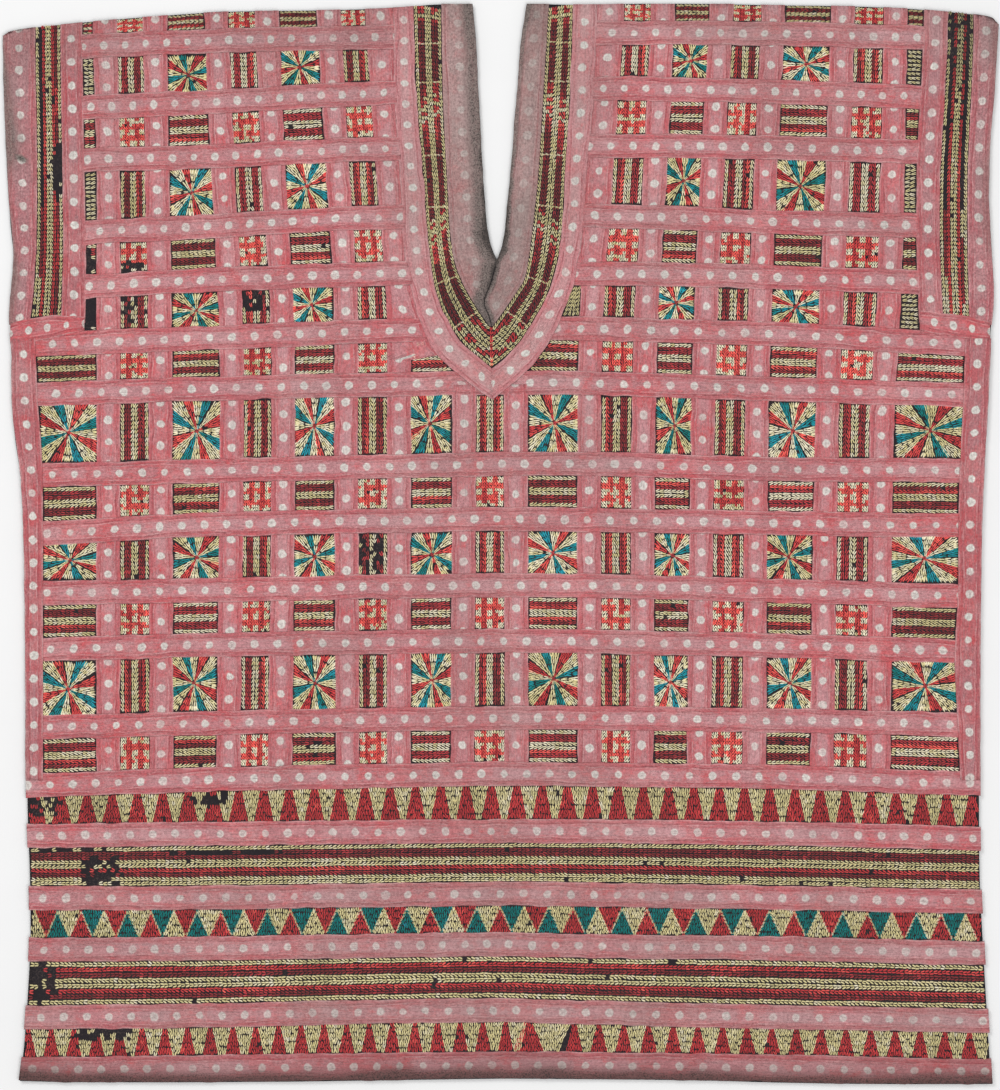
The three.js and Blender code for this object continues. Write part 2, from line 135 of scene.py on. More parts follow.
# Inner edge of the side borders: height, left, right.
BORDERS: tuple[Row, ...] = (
    (-134, -266.5, 268), (-85, -266.5, 265.5), (-62, -266.5, 264.8), (-32.5, -266.5, 266.6),
    (25.5, -266.6, 267.2), (55, -267.3, 268.4), (84, -269.5, 269.8), (124, -271.2, 271.2),
)
BORDER_FOOT = -131.6
BORDER_HEAD = 121.8
BAND_FOOT = 136.8

# Middle line of each upright strip at five heights, then its dots: height and dot number.
UPRIGHT_HEIGHTS = (282.0, 212.0, 139.5, 66.5, -126.0)
UPRIGHTS: dict[str, tuple[Row, tuple[Row, ...]]] = {
    "v01": ((-230, -228.5, -228.5, -228.5, -228.5), ((279.3, 0), (72.3, 16), (21, 20))),
    "v02": ((-201, -200, -198.5, -198, -197.5), ((281, 0), (70, 17), (-122.4, 32))),
    "v03": ((-164.5, -161.5, -157.5, -156.5, -158.5), ((306.7, 0), (69.4, 18), (-130.6, 33))),
    "v04": ((-135, -132, -127.5, -126.5, -128.5), ((304.9, 0), (75.8, 17), (-128.3, 32))),
    "v05": ((-98.5, -94.5, -90, -90, -89), ((308.4, 0), (82.8, 17), (-114.3, 31))),
    "v06": ((-70, -65, -59.5, -59, -59), ((108.4, 0), (79.9, 2), (-125.9, 17))),
    "v07": ((-21, -21, -21, -21, -22), ((84.5, 0), (70, 1), (-117.2, 15))),
    "v08": ((9, 9, 9, 9, 9.5), ((81, 0), (68.8, 1), (-117.2, 15))),
    "v09": ((63.5, 58.5, 53.5, 52, 52), ((310.2, 0), (72.3, 18), (-118.9, 32))),
    "v10": ((93.5, 90, 85.5, 83.5, 82.5), ((277.5, 0), (75.2, 15), (-117.2, 29))),
    "v11": ((127.5, 123.5, 120, 118, 116), ((306.7, 0), (74, 18), (-123.6, 33))),
    "v12": ((158, 154.5, 151.5, 149.5, 148), ((279.3, 0), (77, 16), (-117.8, 31))),
    "v13": ((199, 196.5, 193, 190.5, 187.5), ((306.1, 0), (72.3, 18), (-121.3, 32))),
    "v14": ((230, 228.5, 226.5, 222.5, 220.5), ((307.8, 0), (96.2, 16), (77, 17), (-118.9, 31))),
}
# Middle line of each cross strip at six places.
CROSS_PLACES = (-251.0, -175.0, -6.0, 58.0, 169.0, 250.5)
CROSS_LINES: dict[str, Row] = {
    "h01": (117, 120, 126, 125.3, 122, 117.5), "h02": (88, 90.5, 94, 93.5, 90, 87.5),
    "h03": (40.5, 42.5, 46.5, 46.5, 43.5, 43), "h04": (7, 11, 14.5, 14, 12, 11),
    "h05": (-28.5, -27, -24, -24.5, -27.5, -30), "h06": (-61, -59, -56.5, -57, -59.5, -62),
    "h07": (-106.5, -104.5, -101.5, -101.5, -103, -105),
    "h08": (-140, -137.5, -134, -134.5, -136, -139),
    "h09": (-170, -169, -167.5, -167.5, -169, -171),
    "h10": (-206.5, -206.3, -204, -204.5, -206.5, -208),
    "h11": (-236.5, -236, -233.5, -234.5, -236, -238),
    "h12": (-276, -275, -271.8, -273.5, -276, -277.5),
    "h13": (-306, -305, -303, -303.4, -304.8, -306.8),
}
CHEST_PLACES = (-233.5, -181.0, -67.0, 70.0, 163.0, 233.0)
CHEST_LINES: dict[str, Row] = {
    "u01": (290.5, 293, 295.5, 298, 297.5, 295.5), "u02": (255, 257, 263, 265.5, 263.5, 261),
    "u03": (224, 225.5, 230.5, 232, 231, 229), "u04": (182, 184.5, 190.5, 191, 187.5, 186),
    "u05": (150.5, 153.5, 157.5, 157.5, 155.5, 153),
}
# Dots of the cross strips: place across and dot number, for each piece.
CROSS_DOTS: dict[str, tuple[Row, ...]] = {
    "u01_left": ((-231, 0), (-73, 13)), "u01_right": ((65.2, 0), (243, 14)),
    "u02_left": ((-238.6, 0), (-67.8, 14)), "u02_right": ((59.9, 0), (235.4, 14)),
    "u03_left": ((-240.9, 0), (-79.4, 13)), "u03_right": ((64.6, 0), (234.2, 13)),
    "u04_left": ((-233.3, 0), (-58.4, 14)), "u04_right": ((55.2, 0), (236.6, 14)),
    "u05_left": ((-239.8, 0), (-57.3, 14)), "u05_right": ((56.4, 0), (240.6, 14)),
    "h01_left": ((-261.3, 0), (-51.4, 16)), "h01_right": ((33.1, 0), (266.3, 17)),
    "h02_left": ((-259, 0), (-22.3, 18)), "h02_right": ((17.3, 0), (263.4, 18)),
    "h03": ((-261.3, 0), (53.5, 24), (266.9, 40)), "h04": ((-264.2, 0), (50.6, 24), (268, 40)),
    "h05": ((-264.2, 0), (38.3, 23), (54.1, 24), (255.2, 39)),
    "h06": ((-261.9, 0), (54.7, 24), (258.1, 39)), "h07": ((-262.5, 0), (47.7, 24), (262.2, 40)),
    "h08": ((-262.5, 0), (55.2, 24), (273.9, 40)), "h09": ((-268.3, 0), (-18.8, 19), (275.6, 41)),
    "h10": ((-266.6, 0), (-0.1, 20), (274.4, 40)), "h11": ((-266, 0), (5.1, 21), (277.4, 41)),
    "h12": ((-267.7, 0), (9.2, 21), (281.4, 41)), "h13": ((-273, 0), (8.6, 21), (282.6, 41)),
}
# Dots of the bands: height and dot number.
BAND_DOTS: dict[str, tuple[Row, ...]] = {
    "side_border_left": ((70, 0), (-118.9, 14)), "side_border_right": ((91.5, 0), (-123, 16)),
    "armhole_outer_left": ((289.2, 0), (131.8, 12)),
    "armhole_inner_left": ((294.4, 0), (131.8, 12)),
    "armhole_outer_right": ((285.7, 0), (149.2, 10)),
    "armhole_inner_right": ((305.5, 0), (142.8, 12)),
    "neck_inner_left": ((303.7, 0), (253, 4)), "neck_inner_right": ((309, 0), (209.9, 7)),
}
# Places where the stitches have worn away: left, lower, right, upper, and the share that is gone.
WORN_PLACES: tuple[Row, ...] = (
    (-274.2, -158, -256.7, -146.3, 0.6), (-183.8, -152.2, -154.6, -146.3, 0.7),
    (-271.2, -179.6, -227.5, -177.2, 0.8), (-242.1, -198.2, -221.7, -184.2, 0.75),
    (-198.4, -180.1, -128.4, -178.4, 0.8), (-274.2, -265.8, -259.6, -244.3, 0.85),
    (-247.9, -289.2, -215.9, -283.3, 0.8), (-260.4, 201.0, -255.2, 233.5, 0.92),
    (-241.5, 156.5, -235, 173.7, 0.55),
    (-222.9, 156.8, -210, 164.4, 0.8), (-244, 125, -235.5, 143, 0.97),
    (-221.7, 130.6, -212.9, 148.1, 0.7), (-148.8, 136.4, -137.2, 148.1, 0.9),
    (-84.7, -15.2, -67.2, 5.2, 0.55), (256, 296, 279, 318, 0.35),
    (252, 236, 279, 300, 0.07), (-273, 196, -254, 306, 0.03),
)

# Whether each windmill's first wedge is teal (T) or red (R), for each row of them from the shoulder
# down, and from left to right.
WINDMILLS: dict[int, str] = {
    1: "TRRR", 3: "RRRT", 5: "TRRT", 7: "TRRRRRTT", 9: "TTTRTTTT", 11: "RTTRTTTR",
}


class Thread(Enum):
    """The four embroidery threads, by the name of their material slot."""

    CREAM = "cream_thread"
    MAROON = "maroon_thread"
    RED = "red_thread"
    TEAL = "teal_thread"


class Filling(Enum):
    """What a cell of the lattice is filled with."""

    WINDMILL = "eight coloured wedges round the middle"
    UPRIGHT_ROWS = "rows of chain from top to bottom"
    CROSS_ROWS = "rows of chain from side to side"
    CHECKS = "small cream and red checks"
    LADDER = "short bars one over the other"
    PALE_ROWS = "cream rows of chain from top to bottom"


STRIPE_THREADS = (
    Thread.CREAM, Thread.MAROON, Thread.MAROON, Thread.CREAM,
    Thread.CREAM, Thread.MAROON, Thread.MAROON, Thread.CREAM,
)


# ---------------------------------------------------------------- curves
class SmoothCurve:
    """A smooth curve through measured points."""

    def __init__(self, places: Sequence[float], values: Sequence[float]) -> None:
        """Sorts the points and finds the slope at each.

        Args:
            places: where the points stand.
            values: the curve's value at each.
        """
        order = np.argsort(places)
        self.places = np.asarray(places, float)[order]
        self.values = np.asarray(values, float)[order]
        before = np.maximum(np.arange(len(order)) - 1, 0)
        after = np.minimum(np.arange(len(order)) + 1, len(order) - 1)
        run = self.places[after] - self.places[before]
        self.slopes = (self.values[after] - self.values[before]) / run

    def __call__(self, at: np.ndarray | float) -> np.ndarray:
        """The curve's value at each place."""
        at = np.asarray(at, float)
        i = np.clip(np.searchsorted(self.places, at) - 1, 0, len(self.places) - 2)
        span = self.places[i + 1] - self.places[i]
        t = np.clip((at - self.places[i]) / span, -0.4, 1.4)
        near, far = self.slopes[i] * span, self.slopes[i + 1] * span
        rise = self.values[i + 1] - self.values[i]
        inside = t * near + t**2 * (3 * rise - 2 * near - far) + t**3 * (near + far - 2 * rise)
        outside = np.where(t < 0, near * t, rise + far * (t - 1))
        return self.values[i] + np.where((t < 0) | (t > 1), outside, inside)


def column(rows: Sequence[Row], value: int, along: int = 0) -> SmoothCurve:
    """The smooth curve of one column of a table against another."""
    return SmoothCurve([row[along] for row in rows], [row[value] for row in rows])


def straight(rows: Sequence[Row], value: int, along: int = 0) -> Edge:
    """Straight lines through one column of a table, drawn on past both ends."""
    points = sorted((row[along], row[value]) for row in rows)
    places = np.array([p for p, _ in points], float)
    values = np.array([v for _, v in points], float)

    def at(where: np.ndarray | float) -> np.ndarray:
        """The value at each place."""
        where = np.asarray(where, float)
        i = np.clip(np.searchsorted(places, where) - 1, 0, len(places) - 2)
        t = (where - places[i]) / (places[i + 1] - places[i])
        return values[i] + t * (values[i + 1] - values[i])

    return at


def shifted(edge: Edge, by: float) -> Edge:
    """The same edge, moved sideways."""
    return lambda at: edge(at) + by


class Unevenness:
    """A smooth random field over the cloth, between about -1 and 1."""

    def __init__(self, seed: int, shortest: float, longest: float, waves: int = 14) -> None:
        """Draws the waves.

        Args:
            seed: the seed of the random draws.
            shortest: the shortest wave length, in millimetres.
            longest: the longest.
            waves: how many waves are added up.
        """
        draw = np.random.default_rng(seed)
        turn = draw.uniform(0, math.tau, waves)
        length = np.exp(draw.uniform(math.log(shortest), math.log(longest), waves))
        self.across = np.cos(turn) * math.tau / length
        self.along = np.sin(turn) * math.tau / length
        self.start = draw.uniform(0, math.tau, waves)
        self.scale = math.sqrt(2 / waves) * 0.7

    def __call__(self, x: np.ndarray | float, y: np.ndarray | float) -> np.ndarray:
        """The field's value at each point."""
        x, y = np.asarray(x, float)[..., None], np.asarray(y, float)[..., None]
        return self.scale * np.sin(x * self.across + y * self.along + self.start).sum(-1)


side_left, side_right = column(SIDES, 1), column(SIDES, 2)
shoulder_line, hem_line = column(SHOULDER, 1), column(HEM, 1)
slit_left, slit_right = column(SLIT, 1), column(SLIT, 2)
neck_edge_left, neck_edge_right = straight(NECK_OUTER_LEFT, 0, 1), straight(NECK_OUTER_RIGHT, 0, 1)
border_left, border_right = column(BORDERS, 1), column(BORDERS, 2)
upright_middles = {name: SmoothCurve(UPRIGHT_HEIGHTS, row) for name, (row, _) in UPRIGHTS.items()}
cross_middles = {name: SmoothCurve(CROSS_PLACES, row) for name, row in CROSS_LINES.items()}
chest_middles = {name: SmoothCurve(CHEST_PLACES, row) for name, row in CHEST_LINES.items()}

broad_rise = Unevenness(3, 28, 90)
fine_rise = Unevenness(5, 7, 19, 22)
edge_drift = Unevenness(7, 9, 46, 20)


def front_top(x: np.ndarray, y: np.ndarray) -> np.ndarray:
    """Height of the front panel's upper face, with its soft creases."""
    x, y = np.asarray(x, float), np.asarray(y, float)
    dome = np.maximum((1 - (x / HALF_WIDTH) ** 2) * (1 - (y / HALF_LENGTH) ** 2), 0)
    wave = np.sin(math.tau * x / RIPPLE_ACROSS) * np.cos(math.tau * y / RIPPLE_ALONG)
    creases = 0.16 * (1 + broad_rise(x, y)) + 0.05 * fine_rise(x, y)
    lump = 0.9 * np.exp(-((x + 236) ** 2 + (y - 266) ** 2) / 18)
    return 2 * PANEL_WALL + SEAM_GAP + dome * (SWELL + RIPPLE * wave) + creases + lump


# ---------------------------------------------------------------- meshes
class Shape:
    """Points and faces of one piece, with the values that its finish reads."""

    def __init__(self) -> None:
        """Starts with nothing."""
        self.points: list[np.ndarray] = []
        self.faces: list[tuple[int, ...]] = []
        self.layers: dict[str, list[np.ndarray]] = {}
        self.values: dict[str, list[np.ndarray]] = {}
        self.count = 0

    def add(self, points: np.ndarray, **values: np.ndarray) -> int:
        """Adds points with their values.

        Args:
            points: one row of x, y, z each, in millimetres.
            values: one number or one pair a point, by name.

        Returns:
            The number of the first new point.
        """
        first = self.count
        self.points.append(points)
        for name, value in values.items():
            store = self.layers if np.ndim(value) == 2 else self.values
            store.setdefault(name, []).append(np.asarray(value, float))
        self.count += len(points)
        return first

    def make(self, name: str) -> bpy.types.Object:
        """Makes the Blender object.

        Args:
            name: the piece's name.

        Returns:
            The object, at the origin.
        """
        mesh = bpy.data.meshes.new(name)
        points = np.concatenate(self.points) * MM
        mesh.from_pydata(points.tolist(), [], self.faces)
        corners = np.empty(len(mesh.loops), np.int32)
        mesh.loops.foreach_get("vertex_index", corners)
        for layer, parts in self.layers.items():
            uv = mesh.uv_layers.new(name=layer)
            uv.data.foreach_set("uv", np.concatenate(parts)[corners].astype(np.float32).ravel())
        for label, parts in self.values.items():
            attribute = mesh.attributes.new(label, "FLOAT", "POINT")
            attribute.data.foreach_set("value", np.concatenate(parts).astype(np.float32))
        mesh.shade_smooth()
        mesh.update()
        piece = bpy.data.objects.new(name, mesh)
        bpy.context.collection.objects.link(piece)
        return piece


def finish_piece(piece: bpy.types.Object, material: bpy.types.Material,
                 nodes: Sequence[str] = ()) -> bpy.types.Object:
    """Gives a piece its finish and its place in the part.

    Args:
        piece: the object.
        material: its finish.
        nodes: the CAD nodes that it stands for.

    Returns:
        The same object.
    """
    piece.data.materials.append(material)
    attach(piece, "root")
    if nodes:
        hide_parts(*nodes)
    return piece


# ---------------------------------------------------------------- node trees
def linear(colour: Sequence[float]) -> tuple[float, float, float, float]:
    """A colour of 0 to 255 as Blender's linear one."""
    parts = [c / 255 for c in colour]
    return (*(p / 12.92 if p <= 0.04045 else ((p + 0.055) / 1.055) ** 2.4 for p in parts), 1.0)


class Signal:
    """A number that nodes work out, which takes part in plain sums."""

    def __init__(self, sheet: "Sheet", socket: bpy.types.NodeSocket) -> None:
        """Wraps the socket that gives the number."""
        self.sheet, self.socket = sheet, socket

    def __add__(self, other: "Value") -> "Signal":
        """The sum."""
        return self.sheet.math("ADD", self, other)

    def __radd__(self, other: float) -> "Signal":
        """The sum, with the plain number first."""
        return self.sheet.math("ADD", other, self)

    def __sub__(self, other: "Value") -> "Signal":
        """The difference."""
        return self.sheet.math("SUBTRACT", self, other)

    def __rsub__(self, other: float) -> "Signal":
        """The difference from a plain number."""
        return self.sheet.math("SUBTRACT", other, self)

    def __mul__(self, other: "Value") -> "Signal":
        """The product."""
        return self.sheet.math("MULTIPLY", self, other)


Value = Signal | float
Input = Value | bpy.types.NodeSocket | Sequence[float]


class Sheet:
    """Helps to write one material's nodes."""

    def __init__(self, name: str) -> None:
        """Makes the material with its shader."""
        self.material = bpy.data.materials.new(name)
        self.material.use_nodes = True
        self.tree = self.material.node_tree
        self.shader = self.tree.nodes["Principled BSDF"]

    def put(self, socket: bpy.types.NodeSocket, value: Input) -> None:
        """Links or sets one input."""
        if isinstance(value, Signal):
            value = value.socket
        if isinstance(value, bpy.types.NodeSocket):
            self.tree.links.new(value, socket)
        else:
            socket.default_value = value

    def node(self, kind: str, inputs: dict[str | int, Input], **settings: str) -> bpy.types.Node:
        """Adds one node.

        Args:
            kind: the end of its type's name.
            inputs: what goes into it, by the name or the number of the socket.
            settings: its own choices.

        Returns:
            The node.
        """
        node = self.tree.nodes.new(f"ShaderNode{kind}")
        for name, choice in settings.items():
            setattr(node, name, choice)
        for key, value in inputs.items():
            self.put(node.inputs[key], value)
        return node

    def shade(self, inputs: dict[str, Input]) -> None:
        """Sets the shader's inputs by name."""
        for name, value in inputs.items():
            self.put(self.shader.inputs[name], value)

    def math(self, operation: str, *inputs: Value) -> Signal:
        """A Math node."""
        node = self.node("Math", dict(enumerate(inputs)), operation=operation)
        return Signal(self, node.outputs[0])

    def coordinates(self) -> bpy.types.NodeSocket:
        """Object coordinates."""
        return self.node("TexCoord", {}).outputs["Object"]

    def split(self, vector: bpy.types.NodeSocket) -> list[Signal]:
        """The three numbers of a vector."""
        return [Signal(self, part) for part in self.node("SeparateXYZ", {0: vector}).outputs]

    def layer(self, name: str) -> list[Signal]:
        """The two numbers of a UV layer."""
        return self.split(self.node("UVMap", {}, uv_map=name).outputs[0])[:2]

    def vector(self, *parts: Value) -> bpy.types.NodeSocket:
        """A vector from its parts."""
        return self.node("CombineXYZ", dict(enumerate(parts))).outputs[0]

    def attribute(self, name: str) -> Signal:
        """A number that is stored on the mesh."""
        return Signal(self, self.node("Attribute", {}, attribute_name=name).outputs["Fac"])

    def noise(self, vector: bpy.types.NodeSocket, scale: float, detail: float = 2.0,
              roughness: float = 0.55) -> Signal:
        """A Noise Texture's value."""
        node = self.node("TexNoise", {"Vector": vector, "Scale": scale, "Detail": detail,
                                      "Roughness": roughness})
        return Signal(self, node.outputs["Fac"])

    def waves(self, vector: bpy.types.NodeSocket, direction: str, scale: float) -> Signal:
        """A Wave Texture's bands, as threads that run one way."""
        node = self.node("TexWave", {"Vector": vector, "Scale": scale, "Distortion": 1.2, "Detail": 1.0,
                                     "Detail Scale": 2.0}, bands_direction=direction)
        return Signal(self, node.outputs["Fac"])

    def weave(self, vector: bpy.types.NodeSocket, threads: float) -> Signal:
        """Height of a plain weave with the given scale of threads."""
        return (self.waves(vector, "X", threads) + self.waves(vector, "Y", threads)) * 0.5

    def between(self, value: Value, low: Value, high: Value) -> Signal:
        """0 below low, 1 above high and smooth between."""
        node = self.node("MapRange", {"Value": value, "From Min": low, "From Max": high},
                         interpolation_type="SMOOTHSTEP")
        return Signal(self, node.outputs[0])

    def band(self, value: Signal, middle: Value, half: float) -> Signal:
        """1 near the middle value and 0 away from it."""
        return 1.0 - self.between(self.math("ABSOLUTE", value - middle), half * 0.4, half * 1.6)

    def mix(self, share: Value, first: Input, second: Input) -> bpy.types.NodeSocket:
        """Two colours mixed."""
        return self.node("Mix", {0: share, 6: first, 7: second}, data_type="RGBA").outputs[2]

    def scaled(self, colour: bpy.types.NodeSocket, by: Signal) -> bpy.types.NodeSocket:
        """A colour made lighter or darker by a number."""
        return self.node("VectorMath", {0: colour, "Scale": by}, operation="SCALE").outputs[0]

    def raise_by(self, height: Signal, distance: float, strength: float) -> None:
        """A bump on the whole surface."""
        bump = self.node("Bump", {"Distance": distance, "Strength": strength, "Height": height})
        self.shade({"Normal": bump.outputs[0]})


# ---------------------------------------------------------------- finishes
@dataclass(frozen=True)
class DottedCotton:
    """Worn pink-red cotton with one row of white resist-dyed dots."""

    name: str = "dotted cotton"
    edge_colour: Row = (190, 106, 111)
    worn_colour: Row = (197, 141, 145)
    blush_colour: Row = (206, 92, 96)
    deep_colour: Row = (158, 74, 80)
    pale_colour: Row = (222, 178, 178)
    grey_colour: Row = (148, 137, 133)
    soot_and_shadow_colour: Row = (58, 54, 52)
    dot_colour: Row = (226, 224, 216)
    dot_heart: Row = (214, 208, 202)
    dot_pitch: float = 13.3
    dot_radius: float = 2.22
    grain_share: float = 1.7
    seam_place: float = 2.4
    thread_scale: float = 520
    roughness: float = 0.84
    relief: float = 0.0004

    def worn_ground(self, s: Sheet, edge: Signal, grime: Signal,
                    cloud: Signal, patch: Signal) -> bpy.types.NodeSocket:
        """The dyed ground: redder at its edges, rubbed paler between them, and blotchy.

        Args:
            s: the material's sheet.
            edge: the distance from the strip's edge.
            grime: the dirt and painted shade, which below 0 stands for a redder place.
            cloud: noise of middling size.
            patch: broad noise.

        Returns:
            The colour.
        """
        place = s.coordinates()
        start = 1.6 + cloud * 3.0
        worn = s.between(edge, start, start + 1.8) * (0.35 + s.between(patch, 0.3, 0.6) * 0.65)
        colour = s.mix(worn, linear(self.edge_colour), linear(self.worn_colour))
        blush = s.between(s.noise(place, 120, 5, 0.7), 0.50, 0.68)
        blush = blush * (0.17 + s.between(patch, 0.62, 0.42) * 0.48)
        rosy = s.between(s.noise(place, 64, 4, 0.66), 0.47, 0.59)
        flush = s.math("MAXIMUM", grime * -1.0, 0.0) * (0.45 + cloud * 1.1)
        blush = s.math("MINIMUM", blush + (rosy - 0.26) * 0.46 + flush, 0.95)
        colour = s.mix(blush, colour, linear(self.blush_colour))
        pallor = s.between(s.noise(place, 37, 4, 0.62), 0.49, 0.6)
        return s.mix(pallor * 0.2, colour, linear(self.pale_colour))

    def seams(self, s: Sheet, colour: bpy.types.NodeSocket, edge: Signal, crease: Signal,
              cloud: Signal) -> bpy.types.NodeSocket:
        """The stitched line inside each edge, the pale creases and the paler rim at the edge.

        Args:
            s: the material's sheet.
            colour: the ground's colour.
            edge: the distance from the strip's edge.
            crease: 1 on a crease.
            cloud: noise of middling size.

        Returns:
            The colour.
        """
        place = s.coordinates()
        pale = linear(self.pale_colour)
        slow = s.noise(place, 26, 2, 0.5)
        seam = self.seam_place + (slow - 0.5) * 4.0 + (cloud - 0.5) * 1.0
        torn = s.between(s.noise(place, 150, 3, 0.7), 0.36, 0.62)
        line = s.band(edge, seam, 0.42) * (0.12 + torn * 0.55)
        colour = s.mix(line, colour, linear(self.deep_colour))
        colour = s.mix(s.band(edge, seam + 0.85, 0.34) * (torn * 0.42), colour, pale)
        colour = s.mix(crease * 0.26, colour, pale)
        rim = (1.0 - s.between(edge, 0.4, 1.15)) * s.between(cloud, 0.36, 0.62)
        return s.mix(rim * 0.6, colour, pale)

    def dots(self, s: Sheet, colour: bpy.types.NodeSocket) -> bpy.types.NodeSocket:
        """The row of white dots, frayed and unevenly dyed, over a colour."""
        place = s.coordinates()
        phase, across = s.layer("dots")
        off = (s.math("FRACT", phase + 0.5) - 0.5) * self.dot_pitch
        away = s.math("SQRT", off * off + across * across)
        away = away + ((s.noise(place, 420, 2) - 0.5) * 1.6 + (s.noise(place, 120, 1) - 0.5) * 1.8)
        dye = s.between(s.noise(place, 48, 1), 0.25, 0.55)
        dot = 1.0 - s.between(away, self.dot_radius - 0.45, self.dot_radius + 0.5)
        dot = dot * s.attribute("printed") * (0.60 + dye * 0.36)
        ring = s.between(away, self.dot_radius * 0.25, self.dot_radius * 0.8)
        return s.mix(dot, colour, s.mix(ring, linear(self.dot_heart), linear(self.dot_colour)))

    def dirt_and_shade(self, s: Sheet, colour: bpy.types.NodeSocket, grime: Signal,
             grain: Signal) -> bpy.types.NodeSocket:
        """Grey dirt with painted shade, soot with painted shadow, and dark specks over a colour."""
        # Grey from the grime value: dirt, and painted shade near the shoulder and the hem.
        grey = s.math("MAXIMUM", grime, 0.0) * (0.4 + grain * 1.2)
        colour = s.mix(s.math("MINIMUM", grey, 0.97), colour, linear(self.grey_colour))
        # Above 1 the grime value turns sooty: soot, the dark knot of the left armhole, and painted
        # shadow along the left neck opening.
        soot_and_shadow = s.math("MAXIMUM", grime - 1.0, 0.0) * s.between(grain, 0.25, 0.6)
        specks = s.between(s.noise(s.coordinates(), 1300, 2), 0.50, 0.62)
        specks = specks * s.between(grime, 0.4, 0.95)
        soot_and_shadow = soot_and_shadow + specks * 0.75
        return s.mix(s.math("MINIMUM", soot_and_shadow, 0.95), colour, linear(self.soot_and_shadow_colour))

    def build(self) -> bpy.types.Material:
        """The material, which reads the layers "run" and "dots" and the values of the strips."""
        s = Sheet(self.name)
        place = s.coordinates()
        along, edge = s.layer("run")
        across, grime = s.layer("dots")[1], s.attribute("grime")
        grain = s.noise(place, 820, 4, 0.75)
        cloud = s.noise(place, 75, 3, 0.6)
        patch = s.noise(place, 14, 3, 0.6)
        lined = s.vector(along * 0.035, across * 0.42, grime)
        crease = s.band(s.noise(lined, 1.0, 3, 0.7), 0.5, 0.022)
        colour = self.worn_ground(s, edge, grime, cloud, patch)
        colour = self.seams(s, colour, edge, crease, cloud)
        colour = self.dirt_and_shade(s, self.dots(s, colour), grime, grain)
        x, y, _ = s.split(place)
        # Painted shade: darker near the shoulder on the left half, where the cloth curves away.
        shade = s.between(y, 0.25, 0.31) * s.between(x, 0.02, -0.08)
        light = (1.03 - self.grain_share / 2) + grain * self.grain_share + (patch - 0.5) * 0.16
        s.shade({"Base Color": s.scaled(colour, light - shade * 0.08),
                 "Roughness": self.roughness + grain * 0.12,
                 "Sheen Weight": 0.06, "Specular IOR Level": 0.2})
        height = s.weave(place, self.thread_scale) * 0.35 + grain * 0.9 + cloud * 1.6 + crease * 0.4
        s.raise_by(height, self.relief, 0.95)
        return s.material


@dataclass(frozen=True)
class GroundCotton:
    """Dark black-brown cotton, rubbed a little lighter on its threads."""

    name: str = "ground cotton"
    dark: Row = (43, 39, 43)
    rubbed: Row = (92, 80, 76)
    thread_scale: float = 420
    roughness: float = 0.86
    relief: float = 0.0003

    def build(self) -> bpy.types.Material:
        """The material."""
        s = Sheet(self.name)
        place = s.coordinates()
        grain = s.noise(place, 900, 3, 0.7)
        rub = s.between(grain, 0.45, 0.75) * s.between(s.noise(place, 40), 0.3, 0.7)
        s.shade({"Base Color": s.mix(rub, linear(self.dark), linear(self.rubbed)),
                 "Roughness": self.roughness + grain * 0.12, "Specular IOR Level": 0.2})
        s.raise_by(s.weave(place, self.thread_scale) + grain * 0.6, self.relief, 0.9)
        return s.material


@dataclass(frozen=True)
class StitchThread:
    """Twisted cotton embroidery thread."""

    name: str
    colour: Row
    other: Row
    roughness: float = 0.72
    relief: float = 0.0002
    darkest: float = 0.16

    def build(self) -> bpy.types.Material:
        """The material, which reads each stitch's own tone."""
        s = Sheet(self.name)
        tone = s.attribute("tone")
        strands = s.noise(s.coordinates(), 2200, 2, 0.6)
        colour = s.mix(s.between(tone, 0.25, 1.0), linear(self.colour), linear(self.other))
        light = s.math("MAXIMUM", 0.76 + strands * 0.5 + (tone - 0.42) * 0.45, self.darkest)
        s.shade({"Base Color": s.scaled(colour, light), "Roughness": self.roughness,
                 "Sheen Weight": 0.08, "Specular IOR Level": 0.3})
        s.raise_by(strands, self.relief, 0.6)
        return s.material


COTTONS: dict[str, DottedCotton] = {
    "plain": DottedCotton(),
    "greyed": DottedCotton("greyed cotton", (180, 108, 113), (176, 128, 131), (186, 100, 106),
                           grey_colour=(126, 118, 112), grain_share=2.2),
    "dim": DottedCotton("dim cotton", (182, 101, 106), (178, 124, 128), (194, 88, 92)),
    "faded": DottedCotton("faded cotton", (202, 132, 136), (200, 154, 154), (206, 110, 114)),
    "soiled": DottedCotton("soiled cotton", grey_colour=(108, 78, 76)),
    "washed": DottedCotton("washed cotton", (180, 138, 136), (184, 154, 151), (190, 120, 120),
                           grey_colour=(128, 116, 111), grain_share=2.2),
}
THREADS: dict[Thread, StitchThread] = {
    Thread.CREAM: StitchThread("cream thread", (238, 225, 168), (229, 221, 196)),
    Thread.MAROON: StitchThread("maroon thread", (144, 54, 57), (190, 65, 70)),
    Thread.RED: StitchThread("red thread", (216, 68, 72), (242, 104, 94)),
    Thread.TEAL: StitchThread("teal thread", (2, 136, 132), (34, 150, 166)),
}


